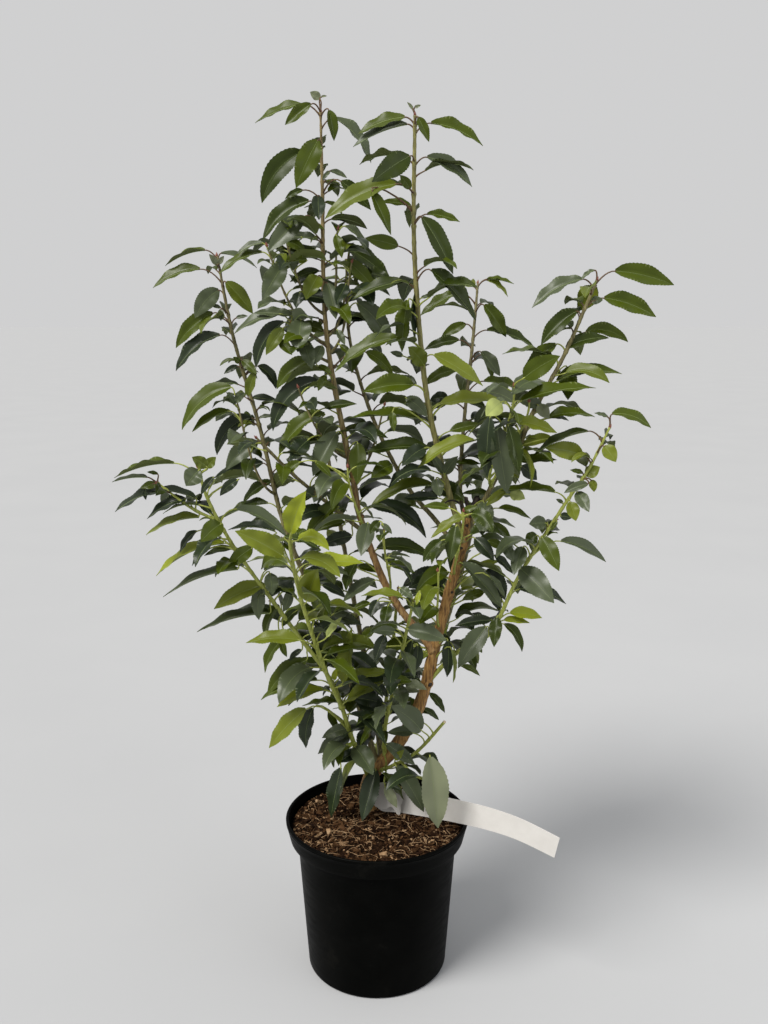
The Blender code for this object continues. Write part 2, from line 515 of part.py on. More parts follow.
def build_masses(collection, lines, mats):
    axes = {n: mass_line(s, lines) for n, s in MASSES.items()}
    for n, spec in MASSES.items():
        if spec["off"] == (0, 0, 0):
            # the bare limb stops just short of its leaves
            a = axes[n]
            a.pts[0] = a.pts[0] + (a.pts[1] - a.pts[0]).normalized() * 0.0012
            axes[n] = Line(a.pts)
    wants = {n: s["r"] * CM * FULLNESS for n, s in MASSES.items()}
    boxes = {}
    for n, a in axes.items():
        reach = wants[n] * 1.6 + 0.09
        lo = Vector([min(p[k] for p in a.pts) - reach for k in range(3)])
        hi = Vector([max(p[k] for p in a.pts) + reach for k in range(3)])
        boxes[n] = (lo, hi)

    def near(n, p):
        lo, hi = boxes[n]
        return all(lo[k] <= p[k] <= hi[k] for k in range(3))

    def free(n, p, s):
        """Whether a point is this mass's own: nearest to its line, clear of limbs, label and soil."""
        mine = s / wants[n]
        for m, axis in axes.items():
            if m == n or not near(m, p):
                continue
            d, _ = axis.nearest(p)
            if (d - AIR_BETWEEN) / wants[m] < mine + AIR_BETWEEN / wants[n]:
                return False
        for limb, spec in LIMBS.items():
            line = lines[limb]
            d, share = line.nearest(p)
            if share > spec["bare"] + 0.03:
                continue
            own = MASSES[n]["limb"] == limb and MASSES[n]["off"] == (0, 0, 0)
            if own and share > spec["bare"] - 0.02:
                continue
            if d < limb_radius(spec, share) + AIR_ROUND_LIMB:
                return False
        if p.z < SOIL_LEVEL + 0.012 and math.hypot(p.x, p.y) < POT_RIM_R + 0.01:
            return False
        if p.z < 0.198 and p.y < 0.035 and -0.02 < p.x:
            return False
        return True

    for index, (name, spec) in enumerate(MASSES.items()):
        axis = axes[name]
        mesh = bpy.data.meshes.new(name)
        bm = bmesh.new()
        rings = []
        seed = Vector((index * 3.7, index * 1.9, 5.3))
        for i in range(RING_COUNT):
            share = ring_share(i)
            mid = axis.point(share)
            ahead = (axis.point(min(1, share + 0.05)) - axis.point(max(0, share - 0.05))).normalized()
            right = Vector((1, 0, 0))
            right = (right - ahead * right.dot(ahead)).normalized()
            back = ahead.cross(right).normalized()
            swell = math.sin(math.pi * (0.06 + 0.90 * share)) ** 0.42
            ring = []
            for k in range(RING_SIDES):
                a = 2 * math.pi * (k + 0.5 * (i % 2)) / RING_SIDES
                out = right * math.cos(a) + back * math.sin(a) * spec["flat"]
                stretch = out.length
                out.normalize()
                # leaves bend out and hang, so a mass bulges a little downwards
                out = (out + Vector((0, 0, -0.22))).normalized()
                lump = 1.0 + 0.26 * noise.noise(out * 1.7 + seed + Vector((0, 0, share * 3.1)))
                reach = wants[name] * swell * stretch * lump
                for at, x, y, z in spec["tips"]:
                    v = Vector((x, y, z)) * CM
                    facing = max(0.0, out.dot(v.normalized()))
                    gain = facing ** 7 * math.exp(-((share - at) / 0.13) ** 2)
                    reach = max(reach, reach * (1 - gain) + v.length * gain)
                s = 0.0
                step = 0.0015
                while s + step <= reach and free(name, mid + out * (s + step), s + step):
                    s += step
                s = max(0.0022, s - 0.0006) if s < reach - step else reach
                ring.append(bm.verts.new(mid + out * s))
            rings.append(ring)
        # the furthest leaf tips: the nearest corner of the mass is drawn out to each
        for at, x, y, z in spec["tips"]:
            i = min(range(RING_COUNT), key=lambda n: abs(ring_share(n) - at))
            mid = axis.point(ring_share(i))
            goal = axis.point(at) + Vector((x, y, z)) * CM
            toward = (goal - mid).normalized()
            k = max(range(RING_SIDES), key=lambda n: (rings[i][n].co - mid).normalized().dot(toward))
            far = (goal - mid).length
            s = 0.0
            while s + 0.0015 <= far and free(name, mid + toward * (s + 0.0015), s + 0.0015):
                s += 0.0015
            if s > (rings[i][k].co - mid).length:
                rings[i][k].co = goal if s + 0.0015 > far else mid + toward * s
        foot = bm.verts.new(axis.point(0.0))
        head = bm.verts.new(axis.point(1.0))
        for k in range(RING_SIDES):
            j = (k + 1) % RING_SIDES
            bm.faces.new((foot, rings[0][j], rings[0][k]))
            bm.faces.new((rings[-1][k], rings[-1][j], head))
        for i in range(RING_COUNT - 1):
            lower, upper = rings[i], rings[i + 1]
            shift = i % 2           # odd rings are turned by half a step
            for k in range(RING_SIDES):
                j = (k + 1) % RING_SIDES
                if shift == 0:
                    bm.faces.new((lower[k], lower[j], upper[k]))
                    bm.faces.new((lower[j], upper[j], upper[k]))
                else:
                    bm.faces.new((lower[k], upper[j], upper[k]))
                    bm.faces.new((lower[k], lower[j], upper[j]))
        bmesh.ops.recalc_face_normals(bm, faces=bm.faces)
        bm.to_mesh(mesh)
        bm.free()
        mesh.materials.append(mats[spec.get("tone", 0)])
        obj = bpy.data.objects.new(name, mesh)
        collection.objects.link(obj)


def main():
    for obj in list(bpy.data.objects):
        bpy.data.objects.remove(obj)
    scene = bpy.context.scene
    parts = bpy.data.collections.new("potted_portugal_laurel")
    cutters = bpy.data.collections.new("cutters")
    scene.collection.children.link(parts)
    scene.collection.children.link(cutters)

    black = finish("pot_plastic", (0.018, 0.019, 0.018), 0.55)
    peat = finish("potting_mix", (0.085, 0.048, 0.026), 0.95)
    paper = finish("label_white", (0.85, 0.84, 0.80), 0.6)
    wood = finish("brown_bark", (0.26, 0.13, 0.06), 0.8)
    young = finish("green_shoot", (0.28, 0.33, 0.08), 0.6)
    leaf = finish("laurel_leaves", (0.06, 0.12, 0.03), 0.5)

    build_pot(parts, black)
    build_soil(parts, peat)
    build_label(parts, paper)
    lines = grow_lines()
    build_limbs(parts, cutters, lines, wood, young)
    build_masses(parts, lines, [leaf])


main()
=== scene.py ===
"""Looks of the potted Portugal laurel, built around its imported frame.

Metres, +Z up, in the frame's own place: the middle of the pot's underside is
the origin. The stems are swept along the same lines as the frame's limbs, and
go on to their tips. Leaves grow on them by a seeded rule, in a spiral, and the
leaves whose places can be read from the photo are set first.
"""

import math
import random

import bpy
import numpy as np
from mathutils import Matrix, Vector, noise


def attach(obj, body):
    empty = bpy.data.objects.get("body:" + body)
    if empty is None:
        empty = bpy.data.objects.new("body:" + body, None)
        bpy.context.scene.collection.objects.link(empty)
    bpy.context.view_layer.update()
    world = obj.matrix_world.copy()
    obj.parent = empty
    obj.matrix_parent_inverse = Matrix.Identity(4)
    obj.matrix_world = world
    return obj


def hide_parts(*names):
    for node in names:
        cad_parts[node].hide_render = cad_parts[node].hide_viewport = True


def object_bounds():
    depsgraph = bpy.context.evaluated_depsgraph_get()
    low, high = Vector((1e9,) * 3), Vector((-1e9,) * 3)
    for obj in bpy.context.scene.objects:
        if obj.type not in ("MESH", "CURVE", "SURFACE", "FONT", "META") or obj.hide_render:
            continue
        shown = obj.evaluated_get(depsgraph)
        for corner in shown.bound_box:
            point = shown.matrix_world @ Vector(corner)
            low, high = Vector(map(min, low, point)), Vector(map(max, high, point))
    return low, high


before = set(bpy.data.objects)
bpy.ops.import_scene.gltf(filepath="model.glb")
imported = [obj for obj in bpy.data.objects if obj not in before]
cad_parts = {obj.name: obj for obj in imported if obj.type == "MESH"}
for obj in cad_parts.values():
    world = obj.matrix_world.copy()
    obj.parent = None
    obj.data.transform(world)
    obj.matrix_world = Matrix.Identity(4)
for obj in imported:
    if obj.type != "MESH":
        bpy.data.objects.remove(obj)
CAD_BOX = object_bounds()

CM = 0.01
MM = 0.001
UP = Vector((0, 0, 1))

# ------------------------------------------------------------------ camera
CAM_AT = Vector((0.0075, -0.987, 0.691))
CAM_DOWN = math.radians(11.14)
CAM_PIXELS = 1000.0          # focal length in pixels of the 768 x 1024 frame
CAM_MID = (384.0, 512.0)

cam_data = bpy.data.cameras.new("camera")
cam_data.lens = 36.0 * CAM_PIXELS / 1024.0
cam_data.sensor_width = 36.0
cam_data.clip_start = 0.05
camera = bpy.data.objects.new("camera", cam_data)
camera.location = CAM_AT
camera.rotation_euler = (math.radians(90) - CAM_DOWN, 0, 0)
bpy.context.scene.collection.objects.link(camera)
bpy.context.scene.camera = camera


def seen_at(p):
    """Where a place shows in the 768 x 1024 frame."""
    d = p - CAM_AT
    ahead = d.y * math.cos(CAM_DOWN) - d.z * math.sin(CAM_DOWN)
    up = d.y * math.sin(CAM_DOWN) + d.z * math.cos(CAM_DOWN)
    return CAM_MID[0] + CAM_PIXELS * d.x / ahead, CAM_MID[1] - CAM_PIXELS * up / ahead


def place(px, py, depth):
    """The place that shows at a pixel and lies at a depth, its Y."""
    u = (px - CAM_MID[0]) / CAM_PIXELS
    v = (CAM_MID[1] - py) / CAM_PIXELS
    dy = math.cos(CAM_DOWN) + v * math.sin(CAM_DOWN)
    dz = -math.sin(CAM_DOWN) + v * math.cos(CAM_DOWN)
    t = (depth - CAM_AT.y) / dy
    return Vector((CAM_AT.x + u * t, depth, CAM_AT.z + dz * t))


# --------------------------------------------------------------- materials


def new_material(name, colour, rough, spec=0.5):
    m = bpy.data.materials.new(name)
    m.use_nodes = True
    b = m.node_tree.nodes["Principled BSDF"]
    b.inputs["Base Color"].default_value = (*colour, 1.0)
    b.inputs["Roughness"].default_value = rough
    b.inputs["Specular IOR Level"].default_value = spec
    return m, m.node_tree.nodes, m.node_tree.links, b


def add_coords(nodes):
    return nodes.new("ShaderNodeTexCoord")


def add_noise(nodes, links, coords, scale, detail=3.0, rough=0.55, stretch=None):
    n = nodes.new("ShaderNodeTexNoise")
    n.inputs["Scale"].default_value = scale
    n.inputs["Detail"].default_value = detail
    n.inputs["Roughness"].default_value = rough
    if stretch:
        mp = nodes.new("ShaderNodeMapping")
        mp.inputs["Scale"].default_value = stretch
        links.new(coords.outputs["Object"], mp.inputs["Vector"])
        links.new(mp.outputs["Vector"], n.inputs["Vector"])
    else:
        links.new(coords.outputs["Object"], n.inputs["Vector"])
    return n


def add_ramp(nodes, links, source, stops):
    r = nodes.new("ShaderNodeValToRGB")
    el = r.color_ramp.elements
    while len(el) < len(stops):
        el.new(0.5)
    for e, (at, colour) in zip(el, stops):
        e.position = at
        e.color = (*colour, 1.0)
    links.new(source, r.inputs["Fac"])
    return r


def add_bump(nodes, links, source, shader, strength, distance):
    b = nodes.new("ShaderNodeBump")
    b.inputs["Strength"].default_value = strength
    b.inputs["Distance"].default_value = distance
    links.new(source, b.inputs["Height"])
    links.new(b.outputs["Normal"], shader.inputs["Normal"])
    return b


def rough_from(nodes, links, source, shader, low, high):
    r = nodes.new("ShaderNodeMapRange")
    r.inputs["From Min"].default_value = 0.3
    r.inputs["From Max"].default_value = 0.7
    r.inputs["To Min"].default_value = low
    r.inputs["To Max"].default_value = high
    links.new(source, r.inputs["Value"])
    links.new(r.outputs["Result"], shader.inputs["Roughness"])


def leaf_material(name, colour, rough, spec=0.5, coat=0.0):
    """A leathery leaf: one plain colour, with its grain in the gloss and relief."""
    m, nodes, links, b = new_material(name, colour, rough, spec)
    c = add_coords(nodes)
    grain = add_noise(nodes, links, c, 900.0, 2.0)
    add_bump(nodes, links, grain.outputs["Fac"], b, 0.25, 0.0002)
    patch = add_noise(nodes, links, c, 120.0, 2.0)
    rough_from(nodes, links, patch.outputs["Fac"], b, rough - 0.07, rough + 0.09)
    if coat:
        b.inputs["Coat Weight"].default_value = coat
        b.inputs["Coat Roughness"].default_value = 0.35
    return m


# leaf colours by kind of spray: (upper side, underside). Some tones also carry painted sheen or painted light, as noted
# at each.
TONES = {
    "deep": ((0.018, 0.028, 0.011), (0.095, 0.115, 0.064)),
    "dark": ((0.027, 0.041, 0.003), (0.104, 0.126, 0.044)),
    "mid": ((0.050, 0.070, 0.003), (0.125, 0.150, 0.046)),
    "fresh": ((0.086, 0.109, 0.010), (0.150, 0.180, 0.054)),
    "light": ((0.130, 0.156, 0.014), (0.190, 0.225, 0.062)),
    "young": ((0.215, 0.252, 0.016), (0.280, 0.325, 0.060)),
    # glow: painted light, a bright colour that keeps leaves lit where they fall in shade
    "painted_lit": ((0.360, 0.410, 0.130), (0.380, 0.430, 0.150)),
    # grey: a painted grey sheen, the sky's reflection put into the leaf's colour
    "grey_sheen": ((0.064, 0.081, 0.038), (0.140, 0.165, 0.096)),
    # pale: partly the pale green of unfolding leaves, partly a painted pale sheen on broad leaves
    "pale": ((0.175, 0.193, 0.112), (0.200, 0.222, 0.132)),
}
LEAF_MATS = {}
for tone, (upper, under) in TONES.items():
    LEAF_MATS[tone] = (
        leaf_material("leaf_" + tone, upper, 0.35, 0.28 if tone in ("grey_sheen", "deep", "pale") else 0.21),
        leaf_material("leaf_under_" + tone, under, 0.62, 0.16),
    )


def stem_material(name, low, mid, high, rough, bump):
    """Bark: paler and darker streaks that run along the stem, with a fine grain in its relief."""
    m, nodes, links, b = new_material(name, mid, rough, 0.4)
    c = add_coords(nodes)
    streak = add_noise(nodes, links, c, 60.0, 5.0, 0.6, stretch=(9.0, 9.0, 1.2))
    ramp = add_ramp(nodes, links, streak.outputs["Fac"], [(0.34, low), (0.52, mid), (0.72, high)])
    links.new(ramp.outputs["Color"], b.inputs["Base Color"])
    rough_from(nodes, links, streak.outputs["Fac"], b, rough - 0.08, rough + 0.08)
    fine = add_noise(nodes, links, c, 900.0, 3.0, 0.6)
    add_bump(nodes, links, fine.outputs["Fac"], b, bump, 0.0004)
    return m


MAT_TRUNK = stem_material("bark_trunk", (0.100, 0.048, 0.016), (0.310, 0.165, 0.047), (0.470, 0.285, 0.100), 0.70, 0.5)
MAT_BROWN = stem_material("bark_brown", (0.105, 0.053, 0.022), (0.270, 0.152, 0.054), (0.400, 0.262, 0.105), 0.62, 0.4)
MAT_OLIVE = stem_material("bark_olive", (0.066, 0.053, 0.022), (0.145, 0.126, 0.048), (0.285, 0.255, 0.105), 0.58, 0.3)
MAT_UPPER = stem_material("bark_upper", (0.100, 0.068, 0.026), (0.240, 0.180, 0.070), (0.400, 0.330, 0.150), 0.58, 0.3)
MAT_TAN = stem_material("shoot_tan", (0.105, 0.092, 0.030), (0.205, 0.190, 0.056), (0.330, 0.305, 0.115), 0.52, 0.2)
MAT_GREEN = stem_material("shoot_green", (0.190, 0.215, 0.038), (0.300, 0.335, 0.062), (0.400, 0.435, 0.110), 0.50, 0.2)
MAT_RED = stem_material("shoot_red", (0.060, 0.030, 0.014), (0.110, 0.062, 0.028), (0.180, 0.115, 0.050), 0.55, 0.2)
MAT_BUD = stem_material("bud_red", (0.120, 0.026, 0.020), (0.220, 0.070, 0.045), (0.300, 0.150, 0.080), 0.50, 0.2)
MAT_CUT = stem_material("cut_wood", (0.300, 0.220, 0.130), (0.520, 0.420, 0.270), (0.620, 0.540, 0.380), 0.80, 0.4)
MAT_DEAD = stem_material("dead_wood", (0.012, 0.010, 0.009), (0.035, 0.026, 0.020), (0.090, 0.066, 0.048), 0.85, 0.6)
MAT_RIB = stem_material("leaf_midrib", (0.170, 0.220, 0.075), (0.220, 0.280, 0.100), (0.260, 0.320, 0.130), 0.5, 0.1)


def pot_material():
    m, nodes, links, b = new_material("black_plastic", (0.0012, 0.0013, 0.0011), 0.44, 0.025)
    c = add_coords(nodes)
    dust = add_noise(nodes, links, c, 26.0, 6.0, 0.65)
    ramp = add_ramp(nodes, links, dust.outputs["Fac"],
                    [(0.40, (0.0010, 0.0011, 0.0009)), (0.62, (0.0018, 0.0019, 0.0016)), (0.82, (0.0080, 0.0076, 0.0062))])
    links.new(ramp.outputs["Color"], b.inputs["Base Color"])
    scuff = add_noise(nodes, links, c, 40.0, 4.0, 0.7, stretch=(1.0, 1.0, 7.0))
    rough_from(nodes, links, scuff.outputs["Fac"], b, 0.36, 0.54)
    fine = add_noise(nodes, links, c, 700.0, 2.0)
    add_bump(nodes, links, fine.outputs["Fac"], b, 0.12, 0.0003)
    return m


def soil_material(name, low, mid, high):
    m, nodes, links, b = new_material(name, mid, 0.95, 0.05)
    c = add_coords(nodes)
    grain = add_noise(nodes, links, c, 260.0, 5.0, 0.7)
    ramp = add_ramp(nodes, links, grain.outputs["Fac"], [(0.35, low), (0.52, mid), (0.70, high)])
    links.new(ramp.outputs["Color"], b.inputs["Base Color"])
    fine = add_noise(nodes, links, c, 1100.0, 3.0, 0.7)
    add_bump(nodes, links, fine.outputs["Fac"], b, 0.7, 0.0006)
    return m


MAT_POT = pot_material()
MAT_SOIL = soil_material("peat", (0.003, 0.0015, 0.0007), (0.011, 0.005, 0.0023), (0.036, 0.018, 0.008))
MAT_CHIP_DARK = soil_material("chips_dark", (0.005, 0.0022, 0.0012), (0.016, 0.007, 0.0034), (0.037, 0.019, 0.009))
MAT_CHIP = soil_material("chips_brown", (0.028, 0.013, 0.0055), (0.061, 0.030, 0.013), (0.115, 0.062, 0.029))
MAT_CHIP_PALE = soil_material("chips_pale", (0.155, 0.090, 0.045), (0.280, 0.178, 0.096), (0.390, 0.275, 0.165))


def label_material():
    m, nodes, links, b = new_material("label_plastic", (0.63, 0.61, 0.575), 0.50, 0.3)
    c = add_coords(nodes)
    n = add_noise(nodes, links, c, 55.0, 4.0, 0.6)
    ramp = add_ramp(nodes, links, n.outputs["Fac"],
                    [(0.35, (0.60, 0.58, 0.545)), (0.55, (0.63, 0.61, 0.575)), (0.75, (0.66, 0.64, 0.605))])
    links.new(ramp.outputs["Color"], b.inputs["Base Color"])
    fine = add_noise(nodes, links, c, 500.0, 2.0)
    add_bump(nodes, links, fine.outputs["Fac"], b, 0.08, 0.0002)
    return m


MAT_LABEL = label_material()

# ------------------------------------------------------------- mesh making


class Heap:
    """Corners and faces of many small shapes, joined into pieces of a bounded size."""

    def __init__(self):
        self.co = []
        self.faces = []
        self.slots = []
        self.marks = [(0, 0)]
        self.tris = 0

    def add(self, co, faces, slot=0):
        base = len(self.co)
        self.co.extend(co)
        for f in faces:
            self.faces.append(tuple(base + i for i in f))
            self.tris += len(f) - 2
        if isinstance(slot, int):
            self.slots.extend([slot] * len(faces))
        else:
            self.slots.extend(slot)
        self.marks.append((len(self.co), len(self.faces)))

    def pieces(self, name, mats, slot, smooth=True, most=150000, crisp=0):
        parts = max(1, math.ceil(self.tris / most))
        out = []
        step = math.ceil((len(self.marks) - 1) / parts)
        for i in range(parts):
            v0, f0 = self.marks[min(i * step, len(self.marks) - 1)]
            v1, f1 = self.marks[min((i + 1) * step, len(self.marks) - 1)]
            if f1 == f0:
                continue
            title = name if parts == 1 else "%s_%d" % (name, i + 1)
            mesh = bpy.data.meshes.new(title)
            mesh.from_pydata([tuple(c) for c in self.co[v0:v1]], [], [tuple(k - v0 for k in f) for f in self.faces[f0:f1]])
            for m in mats:
                mesh.materials.append(m)
            mesh.polygons.foreach_set("material_index", self.slots[f0:f1])
            mesh.polygons.foreach_set("use_smooth", [smooth] * (f1 - f0))
            mesh.update()
            if crisp:
                mesh.set_sharp_from_angle(angle=math.radians(crisp))
            obj = bpy.data.objects.new(title, mesh)
            bpy.context.scene.collection.objects.link(obj)
            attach(obj, "root")
            out.append(obj)
        return out

    def piece(self, name, mats, slot, smooth=True):
        return self.pieces(name, mats, slot, smooth, most=10 ** 9)[0]


def smooth_way(places, per_span=6):
    pts = [Vector(p) * CM for p in places]
    ends = [pts[0] * 2 - pts[1]] + pts + [pts[-1] * 2 - pts[-2]]
    out = []
    for i in range(1, len(ends) - 2):
        p0, p1, p2, p3 = ends[i - 1:i + 3]
        for k in range(per_span):
            t = k / per_span
            out.append(0.5 * ((2 * p1) + (p2 - p0) * t + (2 * p0 - 5 * p1 + 4 * p2 - p3) * t * t
                              + (3 * p1 - p0 - 3 * p2 + p3) * t ** 3))
    out.append(pts[-1])
    return out


class Line:
    """A polyline that can be read at any share of its length."""

    def __init__(self, pts):
        self.pts = [Vector(p) for p in pts]
        self.at = [0.0]
        for a, b in zip(self.pts, self.pts[1:]):
            self.at.append(self.at[-1] + (b - a).length)
        self.length = self.at[-1]

    def point(self, share):
        d = max(0.0, min(1.0, share)) * self.length
        for i in range(1, len(self.at)):
            if d <= self.at[i] or i == len(self.at) - 1:
                f = (d - self.at[i - 1]) / max(1e-9, self.at[i] - self.at[i - 1])
                return self.pts[i - 1].lerp(self.pts[i], f)
        return self.pts[-1].copy()

    def ahead(self, share):
        a, b = max(0.0, share - 0.01), min(1.0, share + 0.01)
        return (self.point(b) - self.point(a)).normalized()

    def nearest(self, p):
        best, share = 1e9, 0.0
        for i, (a, b) in enumerate(zip(self.pts, self.pts[1:])):
            ab = b - a
            f = max(0.0, min(1.0, (p - a).dot(ab) / max(1e-12, ab.length_squared)))
            d = (p - a - ab * f).length
            if d < best:
                best, share = d, (self.at[i] + f * ab.length) / self.length
        return best, share


def frames_along(pts):
    """A steady pair of side directions at every point of a line."""
    out = []
    side = None
    for i, p in enumerate(pts):
        t = (pts[min(i + 1, len(pts) - 1)] - pts[max(i - 1, 0)]).normalized()
        if side is None:
            side = t.orthogonal().normalized()
        side = (side - t * side.dot(t)).normalized()
        out.append((t, side, t.cross(side)))
    return out


def sweep(heap, pts, radius_at, sides, slot=0, relief=None, tip="round"):
    """A closed tube along points, its radius given by place, with an optional relief."""
    co, faces = [], []
    n = len(pts)
    for i, (t, s, b) in enumerate(frames_along(pts)):
        r = radius_at(i / (n - 1))
        for k in range(sides):
            a = 2 * math.pi * k / sides
            out = s * math.cos(a) + b * math.sin(a)
            q = r
            if relief:
                q += relief(pts[i], out, i / (n - 1), a, r)
            co.append(pts[i] + out * q)
    for i in range(n - 1):
        for k in range(sides):
            j = (k + 1) % sides
            faces.append((i * sides + k, i * sides + j, (i + 1) * sides + j, (i + 1) * sides + k))
    first = len(co)
    t0 = (pts[1] - pts[0]).normalized()
    t1 = (pts[-1] - pts[-2]).normalized()
    co.append(pts[0] - t0 * radius_at(0) * 0.2)
    bulge = 0.8 if tip == "round" else 0.05
    co.append(pts[-1] + t1 * radius_at(1) * bulge)
    for k in range(sides):
        j = (k + 1) % sides
        faces.append((first, j, k))
        faces.append((first + 1, (n - 1) * sides + k, (n - 1) * sides + j))
    heap.add(co, faces, slot)


def bend_points(a, b, c, d, steps):
    """Points on a cubic Bezier."""
    out = []
    for i in range(steps + 1):
        t = i / steps
        out.append(a * (1 - t) ** 3 + b * 3 * t * (1 - t) ** 2 + c * 3 * t * t * (1 - t) + d * t ** 3)
    return out


# ---------------------------------------------------------------- skeleton
# The frame's limbs: what carries each, its places in cm, its radius at the foot
# and at its end in mm, and its bark.
LIMBS = {
    "trunk": dict(on=None, r=(7.9, 5.9), bark="trunk", flare=(1.36, 0.10),
                  way=[(-1.0, 3.0, 15.2), (-0.85, 2.9, 19.3), (2.3, 2.6, 23.7), (4.7, 2.3, 28.6), (6.1, 2.0, 34.8)]),
    "right_main_stem": dict(on="trunk", r=(5.6, 4.7), bark="trunk", end_on=True,
                            way=[(6.1, 2.0, 34.8), (7.3, 1.7, 40.0), (8.9, 1.2, 46.2), (9.25, 1.0, 49.4)]),
    "left_main_stem": dict(on="trunk", r=(4.1, 1.3), bark="brown",
                           way=[(6.0, 2.0, 34.4), (1.35, 2.2, 40.6), (-1.7, 2.45, 48.6), (-2.4, 2.7, 52.5), (-5.0, 3.2, 67.0), (-5.3, 3.8, 81.0), (-5.4, 4.0, 88.4)]),
    "tall_right_bough": dict(on="right_main_stem", r=(3.2, 1.7), bark="tan",
                             way=[(8.9, 1.2, 46.4), (7.7, 0.8, 50.2), (6.1, 0.2, 56.0), (4.7, -0.5, 62.9), (3.6, -1.7, 75.0), (3.55, -3.0, 86.8)]),
    "stub_bough": dict(on="right_main_stem", r=(2.3, 1.4), bark="olive",
                       way=[(9.1, 1.1, 48.0), (8.6, 2.9, 51.5), (9.1, 5.3, 58.4), (10.0, 7.8, 65.5), (10.7, 10.0, 72.4)]),
    "back_left_bough": dict(on="right_main_stem", r=(2.6, 1.4), bark="olive",
                            way=[(8.6, 1.3, 45.0), (6.2, 2.9, 48.1), (3.0, 4.6, 51.8), (-0.5, 7.0, 58.6), (-2.9, 9.5, 66.5), (-3.3, 12.0, 74.7)]),
    "left_side_bough": dict(on="trunk", r=(3.5, 1.4), bark="olive",
                            way=[(-0.4, 2.9, 21.2), (-2.9, 3.5, 30.5), (-6.1, 3.9, 38.2), (-9.8, 4.4, 47.5), (-12.1, 5.0, 57.4), (-14.7, 5.5, 66.8), (-16.2, 6.0, 75.0)]),
    "outer_left_bough": dict(on="trunk", r=(2.6, 1.4), bark="green",
                             way=[(-0.9, 2.6, 19.4), (-2.6, 0.6, 25.0), (-4.6, -2.0, 32.4), (-8.8, -4.4, 39.7), (-13.2, -7.2, 47.5), (-15.3, -9.0, 52.6), (-15.9, -10.0, 55.7)]),
    "outer_left_side_bough": dict(on="outer_left_bough", r=(1.5, 1.0), bark="green",
                                  way=[(-14.2, -8.2, 50.2), (-14.9, -8.25, 50.6), (-17.0, -8.7, 51.8), (-19.8, -9.0, 54.1)]),
    "front_left_bough": dict(on="outer_left_bough", r=(2.3, 1.5), bark="green",
                             way=[(-3.7, -0.85, 29.2), (-5.1, -4.3, 34.5), (-6.9, -8.3, 42.5), (-7.6, -11.4, 48.2), (-7.4, -13.0, 50.4)]),
    "left_inner_bough": dict(on="left_main_stem", r=(2.2, 1.4), bark="olive",
                             way=[(-0.9, 2.5, 47.0), (-5.5, 2.0, 50.6), (-8.5, 0.6, 53.5), (-11.7, -1.4, 57.3)]),
    "right_bough": dict(on="right_main_stem", r=(2.8, 1.5), bark="olive",
                        way=[(9.0, 1.2, 47.2), (10.8, 0.6, 50.6), (12.5, 0.2, 54.1), (14.2, 0.0, 56.4), (15.2, -0.4, 59.3), (17.9, -1.1, 64.8), (19.0, -1.5, 67.5), (20.8, -2.0, 72.3)]),
    "low_right_bough": dict(on="trunk", r=(2.5, 1.3), bark="green",
                            way=[(5.3, 2.2, 30.6), (8.2, 1.4, 34.2), (10.9, 0.9, 35.9), (12.4, 0.3, 38.0), (14.6, -0.5, 43.5), (18.5, -1.7, 50.6), (20.6, -2.3, 54.2), (22.4, -3.0, 58.5)]),
    "front_twig": dict(on="trunk", r=(2.2, 1.5), bark="green",
                       way=[(0.6, 2.6, 21.9), (0.9, 0.3, 26.7), (2.1, -2.6, 33.7), (3.6, -5.4, 41.9)]),
    "pruned_twig": dict(on="trunk", r=(1.9, 1.6), bark="green",
                        way=[(-0.6, 2.6, 20.2), (1.8, 1.0, 21.9), (4.3, -0.3, 24.1), (7.0, -1.8, 28.0)]),
    "rear_left_bough": dict(on="trunk", r=(3.4, 1.8), bark="olive",
                            way=[(0.2, 3.2, 21.9), (-0.8, 7.0, 28.5), (-3.2, 11.6, 40.0), (-6.2, 15.8, 56.0)]),
    "rear_right_bough": dict(on="trunk", r=(3.4, 1.8), bark="olive",
                             way=[(3.6, 2.6, 26.2), (6.4, 7.0, 32.0), (10.0, 12.0, 42.0), (12.4, 15.8, 52.5)]),
    "rear_low_bough": dict(on="trunk", r=(2.8, 1.6), bark="green",
                           way=[(-0.6, 3.4, 18.6), (0.6, 7.6, 24.0), (1.6, 11.6, 30.0), (2.4, 15.0, 37.5)]),
}
CARRIED_WAYS = {}
LINES = {}
for name, spec in LIMBS.items():
    way = [Vector(p) for p in spec["way"]]
    if spec["on"] and not spec.get("end_on"):
        carrier = LINES[spec["on"]]
        _, share = carrier.nearest(way[0] * CM)
        way[0] = carrier.point(share) / CM
    LINES[name] = Line(smooth_way(way))
